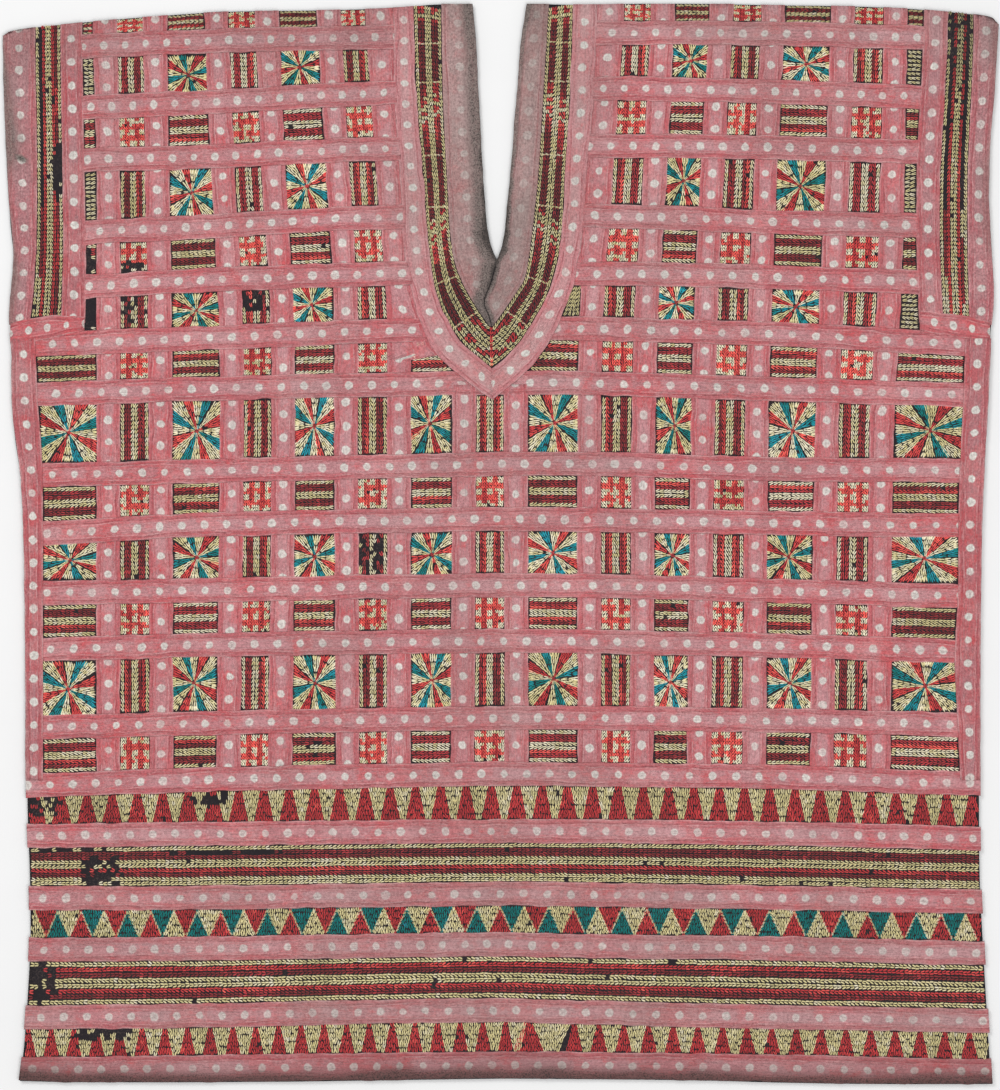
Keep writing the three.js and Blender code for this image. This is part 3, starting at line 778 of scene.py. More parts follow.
# ---------------------------------------------------------------- panels
@dataclass
class Panels:
    """The front and the back of the waistcoat, each cut with the same neck slit."""

    wall: float = PANEL_WALL
    fine_mesh: float = 5.6
    coarse_mesh: float = 12.0
    front_inset: float = 0.3
    back_inset: float = 0.7
    area: float = 0.0
    pieces: dict[str, bpy.types.Object] = field(default_factory=dict)

    def outline_grid(self, mesh: float, inset: float) -> list[tuple[np.ndarray, np.ndarray]]:
        """Rows of points over both halves of the cut.

        Args:
            mesh: the size of one face, in millimetres.
            inset: how far its sides stay inside the garment's.

        Returns:
            For each half, x and y of its points, row by row.
        """
        below = max(round((SLIT_FOOT + HALF_LENGTH) / mesh), 2)
        above = max(round((HALF_LENGTH - SLIT_FOOT) / mesh), 2)
        heights = np.concatenate([np.linspace(-HALF_LENGTH, SLIT_FOOT, below + 1),
                                  np.linspace(SLIT_FOOT, HALF_LENGTH, above + 1)[1:]])
        columns = np.linspace(0, 1, round(HALF_WIDTH / mesh) + 1)
        middle_left = np.where(heights > SLIT_FOOT, slit_left(heights), SLIT[0][1])
        middle_right = np.where(heights > SLIT_FOOT, slit_right(heights), SLIT[0][1])
        up = ((heights + HALF_LENGTH) / (2 * HALF_LENGTH))[:, None]
        halves = []
        for start, end in ((side_left(heights) + inset, middle_left),
                           (middle_right, side_right(heights) - inset)):
            x = start[:, None] + (end - start)[:, None] * columns
            at_hem, at_shoulder = hem_line(x) + HALF_LENGTH, shoulder_line(x) - HALF_LENGTH
            halves.append((x, heights[:, None] + (1 - up) * at_hem + up * at_shoulder))
        return halves

    def shell(self, name: str, mesh: float, inset: float,
              height: Callable[..., np.ndarray]) -> bpy.types.Object:
        """One panel as a closed wall of cloth.

        Args:
            name: the piece's name.
            mesh: the size of one face.
            inset: how far its sides stay inside the garment's.
            height: the upper face's height at x and y.

        Returns:
            The object.
        """
        known: dict[tuple[float, float], int] = {}
        points: list[tuple[float, float]] = []
        quads: list[tuple[int, int, int, int]] = []
        for x, y in self.outline_grid(mesh, inset):
            index = np.empty(x.shape, int)
            for i, j in np.ndindex(*x.shape):
                key = (round(float(x[i, j]), 3), round(float(y[i, j]), 3))
                index[i, j] = known.setdefault(key, len(known))
                if index[i, j] == len(points):
                    points.append((x[i, j], y[i, j]))
            corners = (index[:-1, :-1], index[:-1, 1:], index[1:, 1:], index[1:, :-1])
            quads += list(zip(*(c.ravel().tolist() for c in corners)))
        flat = np.array(points)
        top = height(flat[:, 0], flat[:, 1])
        shape = Shape()
        shape.add(np.column_stack([flat, top]))
        shape.add(np.column_stack([flat, top - self.wall]))
        count = len(flat)
        edges = {(q[k], q[(k + 1) % 4]) for q in quads for k in range(4)}
        shape.faces = quads + [tuple(p + count for p in reversed(q)) for q in quads]
        shape.faces += [(a, a + count, b + count, b) for a, b in edges if (b, a) not in edges]
        corner = flat[np.array(quads)].transpose(1, 2, 0)
        (ax, ay), (bx, by) = corner[2] - corner[0], corner[3] - corner[1]
        self.area = float(np.abs(ax * by - ay * bx).sum() / 2)
        return shape.make(name)

    def build(self, cotton: bpy.types.Material) -> None:
        """Makes both panels."""
        def back_top(x: np.ndarray, y: np.ndarray) -> np.ndarray:
            """Height of the back panel's upper face."""
            return self.wall + 0.12 * np.maximum(1 + broad_rise(x + 400, y), 0)

        for name, mesh, inset, height in (
                ("back_panel", self.coarse_mesh, self.back_inset, back_top),
                ("front_panel", self.fine_mesh, self.front_inset, front_top)):
            piece = self.shell(f"{name}_cloth", mesh, inset, height)
            self.pieces[name] = finish_piece(piece, cotton, [name])
            LOG.info("%s: %d faces", name, len(piece.data.polygons))


# ---------------------------------------------------------------- strips
# A strip from its edge inwards: distance from the edge, and height over the front.
STRIP_PROFILE: tuple[Row, ...] = (
    (0, 0.05), (0.18, 0.42), (0.7, 0.72), (2.2, 0.80), (3.3, 0.78), (4.3, 0.58), (HALF_STRIP, 0.56),
)
STATION = 3.1
CROSS_LIFT = 0.78
BAND_LIFT = 0.12
CROSSING_MARGIN = 0.6
CROSSING_RAMP = 3.0
FOLD_SPREAD = 0.16
HEM_STRIPS = ("h09", "h10", "h11", "h12", "h13")
# An end row that lies higher than this, and is wider, follows the shoulder.
SHOULDER_ZONE, SHOULDER_WIDTH = 288, 5


@dataclass
class Strip:
    """One strip of dotted cotton, from stations on its right and left edge."""

    name: str
    right: np.ndarray
    left: np.ndarray
    phase: np.ndarray
    lift: np.ndarray
    cotton: str = "plain"
    slot: str = "dotted_cotton"
    grime: Callable[..., np.ndarray] | None = None
    printed: float = 1.0
    crease: tuple[float, float] = (0.0, 0.0)
    pucker: float = 0.0
    sway: float = 0.3

    def build(self, cottons: dict[str, bpy.types.Material]) -> bpy.types.Object:
        """Makes the strip as a closed flat tube with turned edges.

        Args:
            cottons: the finishes, by name.

        Returns:
            The piece.
        """
        run = np.linalg.norm(np.diff((self.right + self.left) / 2, axis=0), axis=1)
        along = np.concatenate([[0], np.cumsum(run)])
        width = np.linalg.norm(self.left - self.right, axis=1)
        drift_right = edge_drift(self.right[:, 0], self.right[:, 1])
        drift_left = edge_drift(self.left[:, 0] + 90, self.left[:, 1])
        sideways = (self.left - self.right) / width[:, None]
        right = self.right + self.sway * drift_right[:, None] * sideways
        left = self.left + self.sway * drift_left[:, None] * sideways
        inwards, heights = np.array(STRIP_PROFILE).T
        across = 2 * len(inwards) - 1
        last = len(along) - 1
        shape = Shape()
        for i in range(len(along)):
            near = inwards * min(width[i] / STRIP_WIDTH, 1.0)
            near[-1] = width[i] / 2
            steps = np.concatenate([near, width[i] - near[-2::-1]])
            edge = np.concatenate([near, near[-2::-1]])
            share = (steps / width[i])[:, None]
            flat = right[i] + (left[i] - right[i]) * share
            at_shoulder = flat[:, 1].min() > SHOULDER_ZONE and np.ptp(flat[:, 0]) > SHOULDER_WIDTH
            if i in (0, last) and at_shoulder:
                head = shoulder_line(flat[:, 0]) + SHOULDER_COVER
                flat[:, 1] = np.minimum(head, HALF_LENGTH - 0.05)
            rise = np.concatenate([heights, heights[-2::-1]]) + self.lift[i]
            fold, where = self.crease
            rise = rise + fold * np.exp(-(((share[:, 0] - where) / FOLD_SPREAD) ** 2))
            slant = np.sin(along[i] * 0.85 + share[:, 0] * 3.0 + 2.2 * drift_right[i])
            rise = rise + self.pucker * slant * np.sin(share[:, 0] * math.pi)
            top = front_top(flat[:, 0], flat[:, 1]) + rise
            middle = steps - width[i] / 2
            extra = self.grime(flat[:, 0], flat[:, 1]) if self.grime else np.zeros(across)
            shape.add(np.column_stack([flat, top]),
                      run=np.column_stack([np.full(across, along[i]), edge]),
                      dots=np.column_stack([np.full(across, self.phase[i]), middle]),
                      grime=np.clip(extra, -1, 2), printed=np.full(across, self.printed))
        for i in range(last):
            low, high = i * across, (i + 1) * across
            shape.faces += [(low + j, high + j, high + j + 1, low + j + 1)
                            for j in range(across - 1)]
            shape.faces.append((low + across - 1, high + across - 1, high, low))
        outline = np.concatenate(shape.points).reshape(len(along), across, 3)
        for i, turn in ((0, 1), (last, -1)):
            middle = shape.add(outline[i, [0, -1]].mean(0, keepdims=True),
                               run=np.array([[along[i], 0.0]]),
                               dots=np.array([[self.phase[i], width[i]]]),
                               grime=np.zeros(1), printed=np.zeros(1))
            rim = [i * across + j for j in range(across)]
            shape.faces += [(middle, *pair[::turn]) for pair in zip(rim, rim[1:] + rim[:1])]
        piece = shape.make(f"{self.name}_cloth")
        return finish_piece(piece, cottons[self.cotton], [self.name])


def stations(start: float, end: float) -> np.ndarray:
    """Evenly spaced places between two."""
    return np.linspace(start, end, max(int(abs(end - start) / STATION), 3) + 1)


def dot_phase(anchors: Sequence[Row], at: np.ndarray) -> np.ndarray:
    """The number of the dot at each place, whole in its middle."""
    return straight(anchors, 1)(at)


@dataclass
class Lattice:
    """The uprights and the cross strips over them."""

    upright_print: float = 0.94
    cross_print: float = 0.92
    hem_print: float = 0.76
    tuck_under: float = 1.5
    pieces: list[bpy.types.Object] = field(default_factory=list)

    def upright(self, name: str) -> Strip:
        """An upright, from under the eighth cross strip to the shoulder or the V."""
        middle = upright_middles[name]
        foot = float(cross_middles["h08"](middle(UPRIGHT_HEIGHTS[-1])))
        below_neck = name in ("v07", "v08")
        x_head = float(middle(HALF_LENGTH))
        if below_neck:
            head = float(cross_middles["h02"](x_head)) - 1.0
        else:
            head = float(shoulder_line(x_head)) - EDGE_INSET
        y = stations(foot, head)
        right_x, left_x = middle(y) + HALF_STRIP, middle(y) - HALF_STRIP
        if name == "v06":
            right_x = np.where(y > 110, neck_edge_left(y) + 1.2, right_x)
        if name == "v09":
            left_x = np.where(y > 162, neck_edge_right(y) - 1.2, left_x)
        right, left = np.column_stack([right_x, y]), np.column_stack([left_x, y])
        if not below_neck:
            for edge in (right, left):
                edge[-1, 1] = shoulder_line(edge[-1, 0]) - EDGE_INSET
        return Strip(f"upright_{name}", right, left, dot_phase(UPRIGHTS[name][1], y),
                     np.zeros(len(y)), grime=upright_grime_and_shade, printed=self.upright_print)

    def cross(self, kind: str, name: str, middle: Edge, start: Edge, end: Edge,
              crossed: Sequence[str]) -> Strip:
        """A cross strip between two end edges, lifted over the uprights below it.

        Args:
            kind: chest or cross.
            name: the rest of the strip's name.
            middle: its middle line.
            start: the edge that it starts from.
            end: the edge that it ends at.
            crossed: the uprights that it lies over.

        Returns:
            The strip.
        """
        guess_start, guess_end = (middle(e(middle(0.0))) for e in (start, end))
        starts = [float(start(guess_start + side)) for side in (-HALF_STRIP, HALF_STRIP)]
        ends = [float(end(guess_end + side)) for side in (-HALF_STRIP, HALF_STRIP)]
        x = stations(max(starts) + 0.6, min(ends) - 0.6)
        lower, upper = (np.concatenate([[a], x, [b]]) for a, b in zip(starts, ends))
        centre = (lower + upper) / 2
        lift = np.zeros(len(centre))
        for over in crossed:
            at = float(upright_middles[over](middle(upright_middles[over](0.0))))
            down = (np.abs(centre - at) - HALF_STRIP - CROSSING_MARGIN) / CROSSING_RAMP
            down = np.clip(down, 0, 1)
            lift = np.maximum(lift, CROSS_LIFT * (1 - down * down * (3 - 2 * down)))
        at_hem = name == "h13"
        low_edge = hem_line(lower) + EDGE_INSET if at_hem else middle(lower) - HALF_STRIP
        return Strip(f"{kind}_{name}", np.column_stack([lower, low_edge]),
                     np.column_stack([upper, middle(upper) + HALF_STRIP]),
                     dot_phase(CROSS_DOTS[name], centre), lift, grime=cross_grime_and_shade,
                     cotton="soiled" if at_hem else "plain",
                     printed=self.hem_print if name in HEM_STRIPS else self.cross_print)

    def build(self, cottons: dict[str, bpy.types.Material]) -> None:
        """Makes every strip of the lattice."""
        names = list(UPRIGHTS)
        sides = {"left": names[:6], "right": names[8:]}
        tuck = self.tuck_under
        neck = (shifted(neck_edge_left, tuck), shifted(neck_edge_right, -tuck))
        arms = (shifted(column(ARMHOLE_LEFT, 3), -tuck), shifted(column(ARMHOLE_RIGHT, 3), tuck))
        borders = (shifted(border_left, -tuck), shifted(border_right, tuck))
        edges = (shifted(side_left, -EDGE_COVER), shifted(side_right, EDGE_COVER))
        strips = [self.upright(name) for name in names]
        parted = [("chest", name, middle, arms) for name, middle in chest_middles.items()]
        parted += [("cross", "h01", cross_middles["h01"], (edges[0], borders[1])),
                   ("cross", "h02", cross_middles["h02"], borders)]
        for kind, name, middle, (start, end) in parted:
            for side, ends in (("left", (start, neck[0])), ("right", (neck[1], end))):
                strips.append(self.cross(kind, f"{name}_{side}", middle, *ends, sides[side]))
        for i, (name, middle) in enumerate(list(cross_middles.items())[2:], 2):
            ends = borders if i < 7 else edges
            strips.append(self.cross("cross", name, middle, *ends, names if i < 8 else ()))
        self.pieces = [strip.build(cottons) for strip in strips]
        LOG.info("lattice: %d strips", len(self.pieces))


# Places that are dirtier, or redder where the last number is below 0: across, along, reach both
# ways, and how much.
SPOTS: tuple[Row, ...] = (
    (64, 45.5, 1.6, 1.6, 0.9), (120, 91, 0.7, 6, 0.5), (-225, 138, 70, 20, -0.35),
    (255, 130, 34, 14, -0.3), (1, -40, 6, 130, 0.12),
)


def near_spot(x: np.ndarray, y: np.ndarray, spot: Row) -> np.ndarray:
    """The last number of a spot in its middle, falling off around it."""
    return spot[4] * np.exp(-(((x - spot[0]) / spot[2]) ** 2 + ((y - spot[1]) / spot[3]) ** 2))


def bump(value: np.ndarray, middle: float, width: float) -> np.ndarray:
    """1 at the middle value, falling off to both sides."""
    return np.exp(-(((value - middle) / width) ** 2))


def fading(distance: np.ndarray | float, width: float,
           amount: np.ndarray | float = 1) -> np.ndarray:
    """The whole amount well below a distance of 0, none well above it, and smooth between."""
    return amount / (1 + np.exp(distance / width))


def common_grime_and_shade(x: np.ndarray, y: np.ndarray) -> np.ndarray:
    """How grey the cotton is, from dirt and from painted shade: below 0 it is redder instead, above 1
    it turns sooty.

    It is reddest down both sides, and greyest at the shoulder, the middle and the hem; the grey at the
    shoulder and the hem is painted shade.
    """
    sides = (np.abs(x) / HALF_WIDTH) ** 1.5 * bump(y, -25, 165)
    dirt_and_shade = 0.07 + 0.10 * broad_rise(x * 0.6 + 70, y * 0.6)
    # The shoulder term paints shade: greyer near the shoulder, where the cloth curves away.
    dirt_and_shade = dirt_and_shade - 0.42 * sides + 0.17 * fading(shoulder_line(x) - y - 26, 9)
    # The first term paints shade: greyer towards the hem.
    dirt_and_shade = dirt_and_shade + 0.17 * fading(y + 195, 22) + 0.07 * bump(x, 0, 80)
    for spot in SPOTS:
        dirt_and_shade = dirt_and_shade + near_spot(x, y, spot)
    return dirt_and_shade


def upright_grime_and_shade(x: np.ndarray, y: np.ndarray) -> np.ndarray:
    """Dirt and painted shade on the uprights."""
    return common_grime_and_shade(x, y) - 0.04


def cross_grime_and_shade(x: np.ndarray, y: np.ndarray) -> np.ndarray:
    """Dirt on the cross strips, most along the hem, with painted shade at the shoulder and towards the
    hem.
    """
    over_hem = y - hem_line(x) - 4.9 - 0.9 * broad_rise(x, 0 * x)
    return common_grime_and_shade(x, y) + 0.03 + fading(over_hem, 1.9, 0.95)


# ---------------------------------------------------------------- bands
@dataclass
class Bands:
    """Side borders, and the pink bands of neck and armholes."""

    neck_pitch: dict[str, tuple[float, float]] = field(
        default_factory=lambda: {"left": (12.25, 7.0), "right": (13.3, 8.2)})
    pieces: list[bpy.types.Object] = field(default_factory=list)

    def rising(self, name: str, left: Edge, right: Edge, foot: float, head: float = HALF_LENGTH,
               lift: float = BAND_LIFT, **looks: object) -> Strip:
        """A band between two edges, up to a height or the shoulder."""
        y = stations(foot, head)
        right_y, left_y = y.copy(), y.copy()
        if head == HALF_LENGTH:
            right_y, left_y = (np.minimum(y, shoulder_line(e(y)) - EDGE_INSET)
                               for e in (right, left))
            right_y[-1], left_y[-1] = (shoulder_line(e(head)) - EDGE_INSET for e in (right, left))
        ends = np.column_stack([right(y), right_y]), np.column_stack([left(y), left_y])
        keep = np.concatenate([[True], np.diff(right_y + left_y) > 0.2])
        return Strip(name, ends[0][keep], ends[1][keep], dot_phase(BAND_DOTS[name], y)[keep],
                     np.full(keep.sum(), lift), sway=0.12, **looks)

    def neck_outer(self, side: str, rows: Sequence[Row]) -> Strip:
        """The outer neck band of one side, shoulder to V tip."""
        table = np.array(rows, float)
        outer, inner = table[:, :2], table[:, 2:]
        steps = np.linalg.norm(np.diff((outer + inner) / 2, axis=0), axis=1)
        along = np.concatenate([[0], np.cumsum(steps)])
        s = stations(0, along[-1])
        smooth = [np.column_stack([SmoothCurve(along, edge[:, k])(s) for k in (0, 1)])
                  for edge in (outer, inner)]
        right, left = smooth if side == "left" else smooth[::-1]
        for edge in (right, left):
            edge[0, 1] = shoulder_line(edge[0, 0]) - EDGE_INSET
        pitch, first = self.neck_pitch[side]
        return Strip(f"neck_outer_{side}", right, left, (s - first) / pitch,
                     np.full(len(s), CROSS_LIFT * 0.9), "faded", grime=common_grime_and_shade)

    def underarm(self, name: str, rows: Sequence[Row]) -> Strip:
        """A slanted underarm strip with a fold along it."""
        x = stations(rows[0][0], rows[-1][0])
        lower, upper = (np.column_stack([x, column(rows, i)(x)]) for i in (1, 2))
        return Strip(name, lower, upper, x / 11.0, np.full(len(x), 0.45), crease=(0.5, 0.35),
                     pucker=0.35, grime=lambda px, py: common_grime_and_shade(px, py) - 0.1)

    def build(self, cottons: dict[str, bpy.types.Material]) -> None:
        """Makes all bands."""
        side = (shifted(side_left, -EDGE_COVER), shifted(side_right, EDGE_COVER))
        arm_left = {i: column(ARMHOLE_LEFT, i) for i in (1, 2, 3)}
        arm_right = {i: column(ARMHOLE_RIGHT, i) for i in (1, 2, 3)}
        inner_left, inner_right = column(NECK_INNER, 1), column(NECK_INNER, 2)
        lap = column(LAP_LINE, 1)
        open_left = lambda y: np.where(y > SLIT_FOOT, slit_left(y) + EDGE_COVER,
                                       lap(y) - EDGE_INSET)
        open_right = lambda y: np.where(y > SLIT_FOOT, slit_right(y) - EDGE_COVER,
                                        lap(y) + EDGE_INSET)

        def armhole_dirt_and_shade(x: np.ndarray, y: np.ndarray) -> np.ndarray:
            """Grey wear along the armhole edge, and a dark knot on the left one, over the cloth's dirt
            and painted shade.
            """
            out = np.minimum(x - side_left(y), side_right(y) - x)
            rubbed = fading(out - 2.9 - 2.2 * broad_rise(x, y), 1.3, np.where(x < 0, 0.72, 0.3))
            knot = near_spot(x, y, (-278, 225.6, 1.9, 1.2, 3.0))
            return common_grime_and_shade(x, y) + 0.05 + rubbed + knot

        def border_dirt(x: np.ndarray, y: np.ndarray) -> np.ndarray:
            """Grey wear along the side edge."""
            out = np.minimum(x - side_left(y), side_right(y) - x)
            return common_grime_and_shade(x, y) + fading(out - 2.2, 0.9, 0.35)

        def neck_dirt_and_shadow(x: np.ndarray, y: np.ndarray) -> np.ndarray:
            """Grey wear of the inner neck bands, darkest along the left opening, where a frayed dark
            edge and painted shadow lie.
            """
            on_left = x < lap(np.minimum(y, SLIT_FOOT)) + 0.3
            out = np.where(on_left, open_left(y) - x, x - open_right(y))
            width = np.where(on_left, 6.2 + 3 * bump(y, 215, 20), 2.4) + 0.5 * fine_rise(x, y)
            dark = fading(out - width, 0.35, np.where(on_left, 0.64, 0.42))
            low = fading(140 - y, 7, fading(y - 190, 12, 0.2))
            # A ragged near-black strip along the opening, strongest on the left: painted shadow
            # together with the frayed edge.
            reach = 0.7 + 2.2 * bump(y, 178, 14) + 0.8 * fine_rise(x, y)
            dark_fray_and_shadow = fading(out - reach, 0.6, 1.9 * bump(y, 188, 38))
            dirt_and_shade = common_grime_and_shade(x, y) + np.where(on_left, 0.12, 0.24) + dark + low
            return dirt_and_shade + np.where(on_left, 1, 0.6) * dark_fray_and_shadow

        border = {"head": BORDER_HEAD - 2, "lift": BAND_LIFT + CROSS_LIFT * 0.8, "cotton": "dim",
                  "grime": border_dirt}
        arm = {"cotton": "greyed", "slot": "greyed_cotton", "grime": armhole_dirt_and_shade, "printed": 0.85}
        beside = {"cotton": "dim", "grime": common_grime_and_shade}
        neck = {"cotton": "washed", "slot": "greyed_cotton", "grime": neck_dirt_and_shadow}
        border_foot, neck_foot = BORDER_FOOT - 6, LAP_LINE[0][0]
        strips = [
            self.rising("side_border_left", side[0], border_left, border_foot, **border),
            self.rising("side_border_right", border_right, side[1], border_foot, **border),
            self.rising("armhole_outer_left", side[0], arm_left[1], BAND_FOOT - 9, **arm),
            self.rising("armhole_outer_right", arm_right[1], side[1], BAND_FOOT - 9, **arm),
            self.rising("armhole_inner_left", arm_left[2], arm_left[3], BAND_FOOT - 8, **beside),
            self.rising("armhole_inner_right", arm_right[3], arm_right[2], BAND_FOOT - 8, **beside),
            self.underarm("underarm_left", UNDERARM_LEFT),
            self.underarm("underarm_right", UNDERARM_RIGHT),
            self.neck_outer("left", NECK_OUTER_LEFT),
            self.neck_outer("right", NECK_OUTER_RIGHT),
            self.rising("neck_inner_left", inner_left, open_left, neck_foot, printed=0.5, **neck),
            self.rising("neck_inner_right", open_right, inner_right, neck_foot, printed=0.45, **neck),
        ]
        self.pieces = [strip.build(cottons) for strip in strips]
        LOG.info("bands: %d pieces", len(self.pieces))


# ---------------------------------------------------------------- embroidery
@dataclass
class Cell:
    """One opening of the lattice, bounded by four edges."""

    left: Edge
    right: Edge
    lower: Edge
    upper: Edge
    middle: tuple[float, float]

    def at(self, u: np.ndarray, v: np.ndarray) -> np.ndarray:
        """The point at a share of the way across and up."""
        u, v = np.broadcast_arrays(np.asarray(u, float), np.asarray(v, float))
        y = np.full(u.shape, self.middle[1])
        for _ in range(3):
            x = self.left(y) + (self.right(y) - self.left(y)) * u
            y = self.lower(x) + (self.upper(x) - self.lower(x)) * v
        return np.stack([x, y], -1)

    def size(self) -> tuple[float, float]:
        """Width and height through the middle."""
        wide = self.at([0, 1], [0.5, 0.5])
        tall = self.at([0.5, 0.5], [0, 1])
        return float(wide[1, 0] - wide[0, 0]), float(tall[1, 1] - tall[0, 1])


def thread_dirt_and_shade(x: float, y: float) -> float:
    """How much darker the thread has become, most at the top of the right armhole; along the shoulder
    the darkening is painted shade.
    """
    arm = 1.15 / (1 + math.exp((250 - x) / 2)) / (1 + math.exp((262 - y) / 16))
    bright = sum(math.exp(-((y - middle) / 12) ** 4) for middle in (312, 249.5, 175.5))
    neck = (0.42 - 0.5 * bright) * math.exp(-((x + 3) / 48) ** 8) / (1 + math.exp((125 - y) / 5))
    # The term at 302 mm paints shade along the shoulder, where the cloth curves away.
    return arm + neck + 0.35 / (1 + math.exp((302 - y) / 2)) + 0.1 / (1 + math.exp((x + 256) / 2))


# One leg of a chain link: place along, place across, half width, top.
LINK_SECTIONS: tuple[Row, ...] = (
    (-0.56, 0.05, 0.0, 0.35), (-0.30, 0.20, 0.20, 1.0), (0.34, 0.30, 0.20, 0.9),
    (0.62, 0.34, 0.0, 0.25),
)
LINK_TRIANGLES = 24
COLUMNS = len(UPRIGHTS) + 1
NECK_COLUMN = COLUMNS // 2
CHEST_ROWS, NECK_ROWS = 6, 7


@dataclass
class Embroidery:
    """All chain-stitch links, planned row by row and laid by Geometry Nodes."""

    link_pitch: float = 2.45
    link_height: float = 0.62
    unevenness: float = 0.14
    seed: int = 11
    tone: float = 0.42
    slack: float = 1.05
    lost: float = 0.004
    scatter: float = 0.10
    links: dict[tuple[str, Thread], list[Row]] = field(default_factory=dict)
    draw: np.random.Generator = field(default_factory=lambda: np.random.default_rng(21))

    def add(self, region: str, thread: Thread, x: float, y: float, aim: float,
            length: float, width: float, tone: float | None = None, rise: float = 0.0) -> None:
        """Plans one link, unless its place has worn bare.

        Args:
            region: the part of the garment.
            thread: its thread.
            x: place across.
            y: place along.
            aim: its direction.
            length: its length.
            width: its width.
            tone: 0 for the thread's first colour, 1 for its other one; the cell's own if not given.
            rise: height over the other links.
        """
        limit = 1.1 + 0.7 * float(fine_rise(x * 1.7, y * 1.7))
        for left, lower, right, upper, gone in WORN_PLACES:
            off_x = abs(2 * x - left - right) / (right - left + 1)
            off_y = abs(2 * y - lower - upper) / (upper - lower + 1)
            if off_x**3 + off_y**3 < limit and self.draw.random() < gone:
                return
        if self.draw.random() < self.lost:
            return
        tone = (self.tone if tone is None else tone) - float(thread_dirt_and_shade(x, y))
        tone = tone + 0.20 * self.draw.normal() + 0.14 * broad_rise(x, y)
        off = self.draw.normal(0, self.scatter, 2)
        self.links.setdefault((region, thread), []).append(
            (x + off[0], y + off[1], aim + self.draw.normal(0, self.scatter), length * self.slack,
             width, float(np.clip(tone, -1.3, 1.5)), rise))

    def row(self, region: str, line: np.ndarray, threads: Callable[[float], Thread | None] | Thread,
            width: float, pitch: float | None = None, tone: float | None = None,
            rise: float = 0.0) -> None:
        """Lays links along a line.

        Args:
            region: the part of the garment.
            line: the points of the line.
            threads: the thread, or the thread at each share of the way along it.
            width: the width of the row.
            pitch: the length of one link.
            tone: how far its links go to the thread's other colour.
            rise: height over the other rows.
        """
        steps = np.linalg.norm(np.diff(line, axis=0), axis=1)
        along = np.concatenate([[0], np.cumsum(steps)])
        count = max(round(along[-1] / (pitch or self.link_pitch)), 1)
        each = along[-1] / count
        at = (np.arange(count) + 0.5) * each
        at = at + self.draw.uniform(-0.12, 0.12) * each
        skew = self.draw.choice([-0.27, 0.27]) + self.draw.normal(0, 0.06)

        def points(shift: float) -> np.ndarray:
            """The links' places, moved along the line."""
            return np.column_stack([np.interp(at + shift, along, line[:, k]) for k in (0, 1)])

        course = points(0.4) - points(-0.4)
        for i, (x, y) in enumerate(points(0.0)):
            thread = threads(float(at[i] / along[-1])) if callable(threads) else threads
            if thread:
                aim = math.atan2(course[i, 1], course[i, 0]) + skew
                self.add(region, thread, float(x), float(y), aim, each, width, tone, rise)

    def stripes(self, region: str, cell: Cell, upright: bool,
                threads: Sequence[Thread | None]) -> None:
        """Rows of chain side by side across a cell."""
        wide, tall = cell.size()
        span, length = (wide, tall) if upright else (tall, wide)
        samples = np.linspace(0.4 / length, 1 - 0.4 / length, max(int(length / 8), 3))
        for k, thread in enumerate(threads):
            share = np.full(len(samples), (k + 0.5) / len(threads))
            line = cell.at(share, samples) if upright else cell.at(samples, share)
            line[:, 0 if upright else 1] += 0.16 * edge_drift(line[:, 0] * 1.4, line[:, 1] * 1.4)
            self.row(region, line[::-1] if k % 2 else line, thread, span / len(threads) * 0.94)

    def stripe_threads(self, red_share: float) -> list[Thread]:
        """The rows of a striped cell, where red stands in for some of the maroon."""
        threads = list(STRIPE_THREADS)
        for pair in ((1, 2), (5, 6)):
            if self.draw.random() < red_share:
                threads[int(self.draw.choice(pair))] = Thread.RED
        return threads

    def checks(self, region: str, cell: Cell, blocks: int = 5) -> None:
        """Small checks: cream where both counts are odd, red between."""
        wide, tall = cell.size()
        self.slack = 1.15
        count = blocks * 2
        samples = np.linspace(0.01, 0.99, 4)
        for k in range(count):
            block = k // 2
            line = cell.at(np.full(4, (k + 0.5) / count), samples)

            def pick(share: float, block: int = block) -> Thread:
                """The thread at a share of the way up."""
                odd = block % 2 + int(np.searchsorted((0.16, 0.37, 0.62, 0.79), share)) % 2
                pale = odd == 0 or (odd == 1 and self.draw.random() < 0.2)
                return Thread.CREAM if pale else Thread.RED

            tone = self.draw.uniform(*((0.4, 0.85) if block % 2 else (0.8, 1.15)))
            self.row(region, line, pick, wide / count * 1.1, tall / blocks / 2, tone)

    def windmill(self, region: str, cell: Cell, teal_first: bool) -> None:
        """Eight wedges, teal and red by turns, with cream between them."""
        wide, tall = cell.size()
        centre = cell.at(0.5, 0.5) + self.draw.normal(0, 0.6, 2)
        start = math.radians(18 + self.draw.normal(0, 2))
        self.tone = self.draw.uniform(0.5, 0.76)
        for k in range(16):
            thread, spread = Thread.CREAM, math.radians(24)
            if k % 2 == 0:
                thread = Thread.TEAL if (k // 2 % 2 == 0) == teal_first else Thread.RED
                spread = math.radians(21)
            middle = start + math.radians(22.5) * k + math.radians(self.draw.normal(0, 1.5))
            self.wedge(region, thread, centre, (wide / 2, tall / 2), middle, spread)
        for angle in self.draw.uniform(0, math.tau, 2):
            self.add(region, Thread.MAROON, float(centre[0]), float(centre[1]), float(angle),
                     2.4, 1.7)

    def wedge(self, region: str, thread: Thread, centre: np.ndarray, halves: tuple[float, float],
              middle: float, spread: float) -> None:
        """Links in one wedge, which all point away from the centre."""
        def true_angle(angle: float) -> float:
            """An angle of the cell's own proportions as a real one."""
            return math.atan2(halves[1] * math.sin(angle), halves[0] * math.cos(angle))

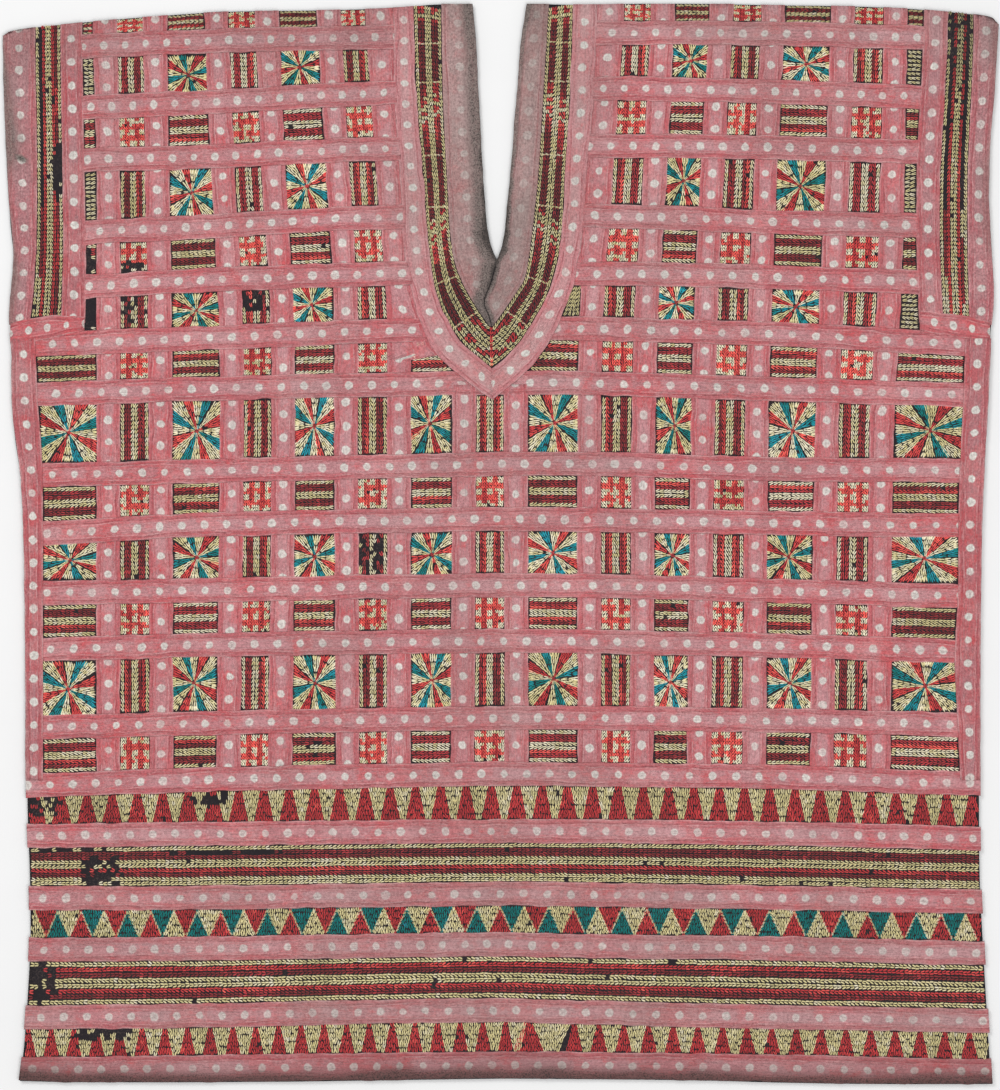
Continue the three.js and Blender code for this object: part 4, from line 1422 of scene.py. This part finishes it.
        start = true_angle(middle - spread / 2)
        turn = (true_angle(middle + spread / 2) - start + math.pi) % math.tau - math.pi
        radius = 2.3 + self.draw.uniform(0, 0.6)
        tone = self.tone - (0.16 if thread is Thread.RED else 0)
        while radius < math.hypot(*halves):
            count = max(round(radius * abs(turn) / 2.05), 1)
            width = max(min(radius * abs(turn) / count, 2.6), 1.3) * 1.03
            for i in range(count):
                angle = start + turn * (i + 0.5) / count
                r = radius + self.draw.uniform(-0.7, 0.7)
                limit = min(halves[0] / max(abs(math.cos(angle)), 1e-6),
                            halves[1] / max(abs(math.sin(angle)), 1e-6))
                if r + 1.0 > limit:
                    if r - 1.2 > limit or limit < 2.5:
                        continue
                    r = limit - 1.0
                self.add(region, thread, centre[0] + r * math.cos(angle),
                         centre[1] + r * math.sin(angle), angle, 2.7, width, tone)
            radius += 2.35

    def triangles(self, region: str, cell: Cell, bases: np.ndarray, up: Sequence[Thread],
                  down: Sequence[Thread], shares: tuple[float, float],
                  outlined: bool = False) -> None:
        """Triangles that stand on the lower edge, and others that hang between them.

        Args:
            region: the part of the garment.
            cell: the whole band.
            bases: where each standing triangle has its middle.
            up: the threads of the standing triangles, by turns.
            down: the threads of the hanging ones.
            shares: how much of the band the standing ones take up, at their foot and at their top.
            outlined: whether thin cream rows run along their sides.
        """
        levels = 7
        foot_share, top_share = shares
        pitch = np.diff(bases, append=2 * bases[-1] - bases[-2])
        jobs = [(bases[i], pitch[i], up[i % len(up)], True) for i in range(len(bases))]
        jobs += [(bases[i] + pitch[i] / 2, pitch[i], down[i % len(down)], False)
                 for i in range(len(bases))]
        for middle, base, thread, standing in jobs:
            tone = self.tone - (0 if thread is Thread.CREAM else 0.24)
            lower, upper = float(cell.lower(middle)), float(cell.upper(middle))
            tall = upper - lower
            for level in range(levels):
                share = (level + 0.5) / levels
                y = lower + tall * share
                spire = foot_share - (foot_share - top_share) * share
                width = base * (spire if standing else 1 - spire)
                if width < 0.9:
                    continue
                count = max(round(width / 1.95), 1)
                left, right = float(cell.left(y)), float(cell.right(y))
                for i in range(count):
                    x = middle + width * ((i + 0.5) / count - 0.5)
                    if left + 0.6 < x < right - 0.6:
                        lean = (x - middle) / tall * (1 if standing else -1) * 0.8
                        self.add(region, thread, x, y + self.draw.uniform(-0.6, 0.6),
                                 math.pi / 2 + lean + self.draw.normal(0, 0.12),
                                 tall / levels * 1.15, width / count * 1.02, tone)
            if outlined and standing:
                for foot in (middle - base * 0.47, middle + base * 0.47):
                    edge = np.array([(foot, float(cell.lower(foot)) + 0.6), (middle, upper - 0.6)])
                    if float(cell.left(edge[0, 1])) < foot < float(cell.right(edge[0, 1])):
                        self.row(region, edge, Thread.CREAM, 0.95, 2.3, 0.5, 0.2)

    def fill(self, region: str, cell: Cell, filling: Filling, teal_first: bool = False) -> None:
        """Fills one cell of the lattice."""
        wide, tall = cell.size()
        if min(wide, tall) < 1.5:
            return
        self.tone, self.slack = self.draw.uniform(0.42, 0.84), 1.06
        match filling:
            case Filling.WINDMILL:
                self.windmill(region, cell, teal_first)
            case Filling.UPRIGHT_ROWS:
                self.stripes(region, cell, True, self.stripe_threads(0.5))
            case Filling.CROSS_ROWS:
                self.stripes(region, cell, False, self.stripe_threads(0.3))
            case Filling.PALE_ROWS:
                self.tone = 0.05
                self.stripes(region, cell, True, [Thread.CREAM] * 4)
            case Filling.CHECKS:
                self.checks(region, cell)
            case Filling.LADDER:
                count = max(round(tall / 2.45), 2)
                for k in range(count):
                    line = cell.at([0.06, 0.94], np.full(2, (k + 0.5) / count))
                    self.row(region, line, Thread.CREAM, 1.55, 2.5)

    def filling(self, row: int, k: int) -> Filling:
        """What the cell of a row and a column is filled with."""
        wide_column, wide_row = k % 2 == 0, row % 2 == 0
        if row < CHEST_ROWS and k in (0, COLUMNS - 1) and not wide_row:
            return Filling.LADDER
        if wide_row:
            return Filling.CROSS_ROWS if wide_column else Filling.CHECKS
        if (row, k) == (5, 8):
            return Filling.PALE_ROWS
        if row < NECK_ROWS and k in (NECK_COLUMN - 1, NECK_COLUMN + 1):
            return Filling.CROSS_ROWS
        return Filling.WINDMILL if wide_column else Filling.UPRIGHT_ROWS

    def columns(self, row: int, inset: float) -> list[tuple[int, Edge, Edge]]:
        """The columns of one row of cells, each with its left and its right edge."""
        middles = [upright_middles[name] for name in UPRIGHTS]
        outer = (border_left, border_right)
        if row < CHEST_ROWS:
            outer = (column(ARMHOLE_LEFT, 3), column(ARMHOLE_RIGHT, 3))
        lefts = [shifted(outer[0], inset), *(shifted(m, HALF_STRIP + inset) for m in middles)]
        rights = [*(shifted(m, -HALF_STRIP - inset) for m in middles), shifted(outer[1], -inset)]
        columns = list(zip(range(COLUMNS), lefts, rights))
        if row < NECK_ROWS:
            k = NECK_COLUMN
            columns[k - 1:k + 2] = [(k - 1, lefts[k - 1], shifted(neck_edge_left, -inset)),
                                    (k + 1, shifted(neck_edge_right, inset), rights[k + 1])]
        return columns

    def plan_lattice(self, inset: float = 0.1) -> None:
        """Plans the cells between the strips."""
        above = [shoulder_line, *chest_middles.values(), *list(cross_middles.values())[:8]]
        for row, (over, under) in enumerate(zip(above, above[1:])):
            upper_edge = shifted(over, -HALF_STRIP - inset if row else -EDGE_INSET - 0.3)
            lower_edge = shifted(under, HALF_STRIP + inset)
            for k, left, right in self.columns(row, inset):
                guess = float(under(0)) + 18
                x = float(left(guess) + right(guess)) / 2
                cell = Cell(left, right, lower_edge, upper_edge,
                            (x, float(lower_edge(x) + upper_edge(x)) / 2))
                filling = self.filling(row, k)
                number = k // 2
                if row < CHEST_ROWS:
                    number -= 3 if k > NECK_COLUMN else 1
                teal_first = filling is Filling.WINDMILL and WINDMILLS[row][number] == "T"
                self.fill("chest" if row < NECK_ROWS else "body", cell, filling, teal_first)

    def plan_hem(self) -> None:
        """Plans the five bands above the hem."""
        self.tone, self.slack = 0.36, 1.0
        c, m, r, t = Thread.CREAM, Thread.MAROON, Thread.RED, Thread.TEAL
        names = ("h08", *HEM_STRIPS)
        cells = []
        for over, under in zip(names, names[1:]):
            upper, lower = cross_middles[over], cross_middles[under]
            cells.append(Cell(shifted(side_left, 0.6), shifted(side_right, -0.6),
                              shifted(lower, HALF_STRIP + 0.1), shifted(upper, -HALF_STRIP - 0.1),
                              (0.0, float(lower(0) + upper(0)) / 2)))
        self.triangles("hem", cells[0], np.arange(-270.6, 285, 14.75), [r], [c], (0.78, 0.26))
        self.stripes("hem", cells[1], False, [c, c, m, r, c, c, m, m, c])
        bases = np.concatenate([np.arange(-271.7, 0, 13.58), np.arange(13.9, 285, 14.3)])
        self.triangles("hem", cells[2], bases, [c, t, r], [r, c, t], (0.94, 0.04), True)
        self.stripes("hem", cells[3], False, [c, m, r, c, c, m, r, c])
        bases = np.concatenate([np.arange(-275.1, 29, 13.25), np.arange(29.6 + 13.6, 285, 14.4)])
        self.triangles("hem", cells[4], bases, [r], [c], (0.68, 0.17))

    def along_band(self, outer: np.ndarray, inner: np.ndarray, threads: Sequence[Thread],
                   blocks: Sequence[tuple[float, float]] = (), bars: Sequence[float] = ()) -> None:
        """Rows along a band between two lines of matching points.

        Args:
            outer: points of one edge.
            inner: the matching points of the other.
            threads: the rows from the outer edge to the inner one.
            blocks: heights between which the rows break up into checks.
            bars: heights of thin cream cross bars.

        A row named teal is partly cream and partly maroon, and has gone near the shoulder.
        """
        self.tone, self.slack = 0.50, 0.96
        gap = float(np.linalg.norm(outer - inner, axis=1).mean()) - 0.2
        for k, named in enumerate(threads):
            share = (0.1 + gap * (k + 0.5) / len(threads)) / (gap + 0.2)
            line = outer + (inner - outer) * share
            line = line[::-1] if k % 2 else line
            even = np.linspace(0, 1, len(line))

            def pick(way: float, k: int = k, thread: Thread = named,
                     low: np.ndarray = line[:, 1], even: np.ndarray = even) -> Thread | None:
                """The thread at a share of the way along the row."""
                y = float(np.interp(way, even, low))
                for foot, head in blocks:
                    if foot < y < head and thread is not Thread.CREAM:
                        return Thread.CREAM if int((y - foot) / 3.1) % 2 else Thread.RED
                if thread is Thread.TEAL:
                    pale = float(broad_rise(47.0 * k, y * 1.6)) > -0.1
                    return None if y > 196 else Thread.CREAM if pale else Thread.MAROON
                if thread is Thread.MAROON and (y < 121 or 228 < y < 266 or 160 < y < 184):
                    red = float(broad_rise(47.0 * k + outer[0, 0], y)) > -0.35
                    return Thread.RED if red else thread
                return thread

            self.row("bands", line, pick, gap / len(threads) * 0.92, 2.3)
        for bar in bars:
            i = int(np.argmin(np.abs((outer + inner)[:, 1] / 2 - bar)))
            across = outer[i] + (inner[i] - outer[i]) * np.array([[0.06], [0.94]])
            self.row("bands", across, Thread.CREAM, 1.0, 2.2, 0.9, 0.3)

    def plan_bands(self) -> None:
        """Plans the embroidered bands of neck and armholes."""
        c, m, r, t = Thread.CREAM, Thread.MAROON, Thread.RED, Thread.TEAL
        for rows, value in ((NECK_OUTER_LEFT, 1), (NECK_OUTER_RIGHT, 2)):
            table = np.array(rows, float)[:, 2:]
            table[0, 1] = min(float(shoulder_line(table[0, 0])) + 0.9, HALF_LENGTH - 0.1)
            run = np.concatenate([[0], np.cumsum(np.linalg.norm(np.diff(table, axis=0), axis=1))])
            s = np.linspace(0, run[-1], 90)
            outer = np.column_stack([SmoothCurve(run, table[:, k])(s) for k in (0, 1)])
            y = np.linspace(HALF_LENGTH - 0.6, NECK_INNER[0][0], 700)
            edge = np.column_stack([column(NECK_INNER, value)(y), y])
            nearest = np.array([np.argmin(np.linalg.norm(edge - p, axis=1)) for p in outer])
            nearest = np.pad(np.maximum.accumulate(nearest), 3, "edge")
            nearest = np.round(np.convolve(nearest, np.ones(7) / 7, "valid")).astype(int)
            nearest[-1] = len(edge) - 1
            self.along_band(outer, edge[nearest], [c, m, m, c, c, m, m, c],
                            [(304, 316), (241, 258), (167, 184), (97, 124)],
                            [292.5, 269, 227, 197, 154, 130.6])
        self.row("bands", np.array([(-4.9, 103.5), (-5.4, 126.5)]), r, 1.8, 2.2, 0.6, 0.15)

        def band_edge(rows: Sequence[Row], value: int, foot: float) -> np.ndarray:
            """One edge of an armhole band, from the shoulder down."""
            across = column(rows, value)
            head = min(float(shoulder_line(across(HALF_LENGTH))) + 0.4, HALF_LENGTH - 0.1)
            heights = np.linspace(head, foot, 50)
            return np.column_stack([across(heights), heights])

        self.along_band(*(band_edge(ARMHOLE_LEFT, i, BAND_FOOT - 4.2) for i in (1, 2)),
                        [c, t, r, c, c, r, m, c])
        self.along_band(*(band_edge(ARMHOLE_RIGHT, i, BAND_FOOT - 4) for i in (2, 1)),
                        [c, t, r, c, c, r, t, c])

    def link_mesh(self) -> bpy.types.Object:
        """One open link of the chain: two legs that part along +X, one unit long and wide."""
        points: list[tuple[float, float, float]] = []
        faces: list[tuple[int, ...]] = []
        for side in (1, -1):
            first = len(points)
            for x, y, half, top in LINK_SECTIONS:
                if half == 0:
                    points.append((x, side * y, top))
                else:
                    points += [(x, side * y + across, high)
                               for across, high in ((-half, 0.1), (0, top), (half, 0.1))]
            a, b, end = first + 1, first + 4, first + 7
            for k in range(3):
                n = (k + 1) % 3
                faces += [(first, a + n, a + k), (a + k, a + n, b + n, b + k), (end, b + k, b + n)]
        mesh = bpy.data.meshes.new("chain_link")
        mesh.from_pydata(points, [], faces)
        mesh.shade_smooth()
        return bpy.data.objects.new("chain_link", mesh)

    def node_tree(self) -> bpy.types.NodeTree:
        """The Geometry Nodes tree that sets one link on each planned point."""
        tree = bpy.data.node_groups.new("lay chain stitches", "GeometryNodeTree")
        for name, kind in (("Plan", "Geometry"), ("Link", "Object"), ("Stitch height", "Float"),
                           ("Unevenness", "Float"), ("Seed", "Int"), ("Thread", "Material")):
            tree.interface.new_socket(name, in_out="INPUT", socket_type=f"NodeSocket{kind}")
        tree.interface.new_socket("Stitches", in_out="OUTPUT", socket_type="NodeSocketGeometry")
        given = tree.nodes.new("NodeGroupInput").outputs

        def node(kind: str, inputs: dict[str | int, bpy.types.NodeSocket | float | str],
                 **settings: str) -> bpy.types.Node:
            """A node with its settings and inputs."""
            made = tree.nodes.new(kind)
            for name, choice in settings.items():
                setattr(made, name, choice)
            for key, value in inputs.items():
                if isinstance(value, bpy.types.NodeSocket):
                    tree.links.new(value, made.inputs[key])
                else:
                    made.inputs[key].default_value = value
            return made

        def named(label: str) -> bpy.types.NodeSocket:
            """A number stored on the plan."""
            made = node("GeometryNodeInputNamedAttribute", {"Name": label}, data_type="FLOAT")
            return next(socket for socket in made.outputs if socket.enabled)

        def sum_of(operation: str, first: bpy.types.NodeSocket | float,
                   second: bpy.types.NodeSocket) -> bpy.types.NodeSocket:
            """Two numbers taken together."""
            return node("ShaderNodeMath", {0: first, 1: second}, operation=operation).outputs[0]

        link = node("GeometryNodeObjectInfo", {"Object": given["Link"]}).outputs["Geometry"]
        turn = node("ShaderNodeCombineXYZ", {"Z": named("aim")}).outputs[0]
        rotation = node("FunctionNodeEulerToRotation", {0: turn}).outputs[0]
        uneven = node("FunctionNodeRandomValue", {"Seed": given["Seed"]}, data_type="FLOAT")
        limits = [socket for socket in uneven.inputs if socket.type == "VALUE"]
        for operation, limit in zip(("SUBTRACT", "ADD"), limits):
            tree.links.new(sum_of(operation, 1.0, given["Unevenness"]), limit)
        share = uneven.outputs[1]
        size = node("ShaderNodeCombineXYZ", {
            "X": named("reach"), "Y": sum_of("MULTIPLY", named("breadth"), share),
            "Z": sum_of("MULTIPLY", given["Stitch height"], share)}).outputs[0]
        laid = node("GeometryNodeInstanceOnPoints", {"Points": given["Plan"], "Instance": link,
                                                     "Rotation": rotation, "Scale": size})
        real = node("GeometryNodeRealizeInstances", {0: laid.outputs[0]})
        painted = node("GeometryNodeSetMaterial", {"Geometry": real.outputs[0],
                                                   "Material": given["Thread"]})
        node("NodeGroupOutput", {"Stitches": painted.outputs[0]})
        return tree

    def lay(self, region: str, thread: Thread, rows: list[Row], tree: bpy.types.NodeTree,
            link: bpy.types.Object, material: bpy.types.Material) -> bpy.types.Object:
        """Turns one region's plan in one thread into a plain mesh of stitches."""
        table = np.array(rows)
        name = f"stitches_{region}_{thread.name.lower()}"
        plan = bpy.data.meshes.new(f"{name}_plan")
        height = front_top(table[:, 0], table[:, 1]) - 0.03 + table[:, 6]
        plan.from_pydata((np.column_stack([table[:, :2], height]) * MM).tolist(), [], [])
        for label, values in (("aim", table[:, 2]), ("reach", table[:, 3] * MM),
                              ("breadth", table[:, 4] * MM), ("tone", table[:, 5])):
            attribute = plan.attributes.new(label, "FLOAT", "POINT")
            attribute.data.foreach_set("value", values.astype(np.float32))
        carrier = bpy.data.objects.new(f"{name}_carrier", plan)
        bpy.context.collection.objects.link(carrier)
        modifier = carrier.modifiers.new("stitches", "NODES")
        modifier.node_group = tree
        sockets = {item.name: item.identifier for item in tree.interface.items_tree
                   if item.in_out == "INPUT"}
        for label, value in (("Link", link), ("Stitch height", self.link_height * MM),
                             ("Unevenness", self.unevenness), ("Seed", self.seed),
                             ("Thread", material)):
            modifier[sockets[label]] = value
        graph = bpy.context.evaluated_depsgraph_get()
        mesh = bpy.data.meshes.new_from_object(carrier.evaluated_get(graph), depsgraph=graph)
        mesh.name = name
        bpy.data.objects.remove(carrier)
        bpy.data.meshes.remove(plan)
        for label in ("aim", "reach", "breadth"):
            if label in mesh.attributes:
                mesh.attributes.remove(mesh.attributes[label])
        mesh.materials.clear()
        piece = bpy.data.objects.new(name, mesh)
        bpy.context.collection.objects.link(piece)
        return finish_piece(piece, material)

    def build(self) -> list[bpy.types.Object]:
        """Plans and lays everything.

        Returns:
            The pieces, one for each region and thread.
        """
        self.plan_lattice()
        self.plan_hem()
        self.plan_bands()
        tree, link = self.node_tree(), self.link_mesh()
        bpy.context.collection.objects.link(link)
        materials = {thread: finish.build() for thread, finish in THREADS.items()}
        pieces = []
        for (region, thread), rows in self.links.items():
            pieces.append(self.lay(region, thread, rows, tree, link, materials[thread]))
            LOG.info("%s: %d links, %d triangles", pieces[-1].name, len(rows),
                     len(rows) * LINK_TRIANGLES)
        bpy.data.objects.remove(link)
        return pieces


# ---------------------------------------------------------------- studio
@dataclass
class Studio:
    """Pale floor, soft light and a camera straight above."""

    view_tall: float = 635.5
    middle: tuple[float, float] = (-0.15, -0.6)
    lens: float = 120.0

    def build(self) -> None:
        """Makes floor, lights and camera."""
        scene = bpy.context.scene
        scene.view_settings.view_transform = "Standard"
        mesh = bpy.data.meshes.new("studio_floor")
        mesh.from_pydata([(-3, -3, 0), (3, -3, 0), (3, 3, 0), (-3, 3, 0)], [], [(0, 1, 2, 3)])
        floor = bpy.data.objects.new("studio_floor", mesh)
        scene.collection.objects.link(floor)
        s = Sheet("pale floor")
        mottle = s.noise(s.coordinates(), 30)
        s.put(s.shader.inputs["Base Color"],
              s.mix(mottle, linear((243, 243, 243)), linear((246, 246, 246))))
        s.shader.inputs["Roughness"].default_value = 0.9
        s.shader.inputs["Specular IOR Level"].default_value = 0.1
        mesh.materials.append(s.material)
        world = bpy.data.worlds.new("soft room")
        world.use_nodes = True
        world.node_tree.nodes["Background"].inputs[0].default_value = (1, 1, 1, 1)
        world.node_tree.nodes["Background"].inputs[1].default_value = 0.34
        scene.world = world
        for name, place, size, power in (("key_light", (-0.8, 0.95, 2.0), 0.9, 18.8),
                                         ("top_light", (0.46, -0.5, 2.55), 1.6, 32.8)):
            data = bpy.data.lights.new(name, "AREA")
            data.size, data.energy = size, power
            lamp = bpy.data.objects.new(name, data)
            lamp.location = place
            direction = -np.array(place)
            lamp.rotation_euler = (math.atan2(math.hypot(*direction[:2]), -direction[2]), 0,
                                   math.atan2(direction[0], -direction[1]) + math.pi)
            scene.collection.objects.link(lamp)
        data = bpy.data.cameras.new("camera")
        data.lens, data.sensor_width = self.lens, 36.0
        camera = bpy.data.objects.new("camera", data)
        distance = self.lens / data.sensor_width * self.view_tall
        camera.location = (self.middle[0] * MM, self.middle[1] * MM, (distance + 4) * MM)
        data.clip_start, data.clip_end = 0.05, 20
        scene.collection.objects.link(camera)
        scene.camera = camera


def main() -> None:
    """Builds the waistcoat and its studio."""
    logging.basicConfig(level=logging.INFO, format="%(name)s: %(message)s")
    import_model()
    Studio().build()
    cottons = {name: finish.build() for name, finish in COTTONS.items()}
    panels = Panels()
    panels.build(GroundCotton().build())
    lattice, bands = Lattice(), Bands()
    lattice.build(cottons)
    bands.build(cottons)
    stitches = Embroidery().build()
    pieces = [*panels.pieces.values(), *lattice.pieces, *bands.pieces, *stitches]
    triangles = sum(len(face.vertices) - 2 for piece in pieces for face in piece.data.polygons)
    LOG.info("waistcoat: %d triangles", triangles)


if __name__ == "__main__":
    main()
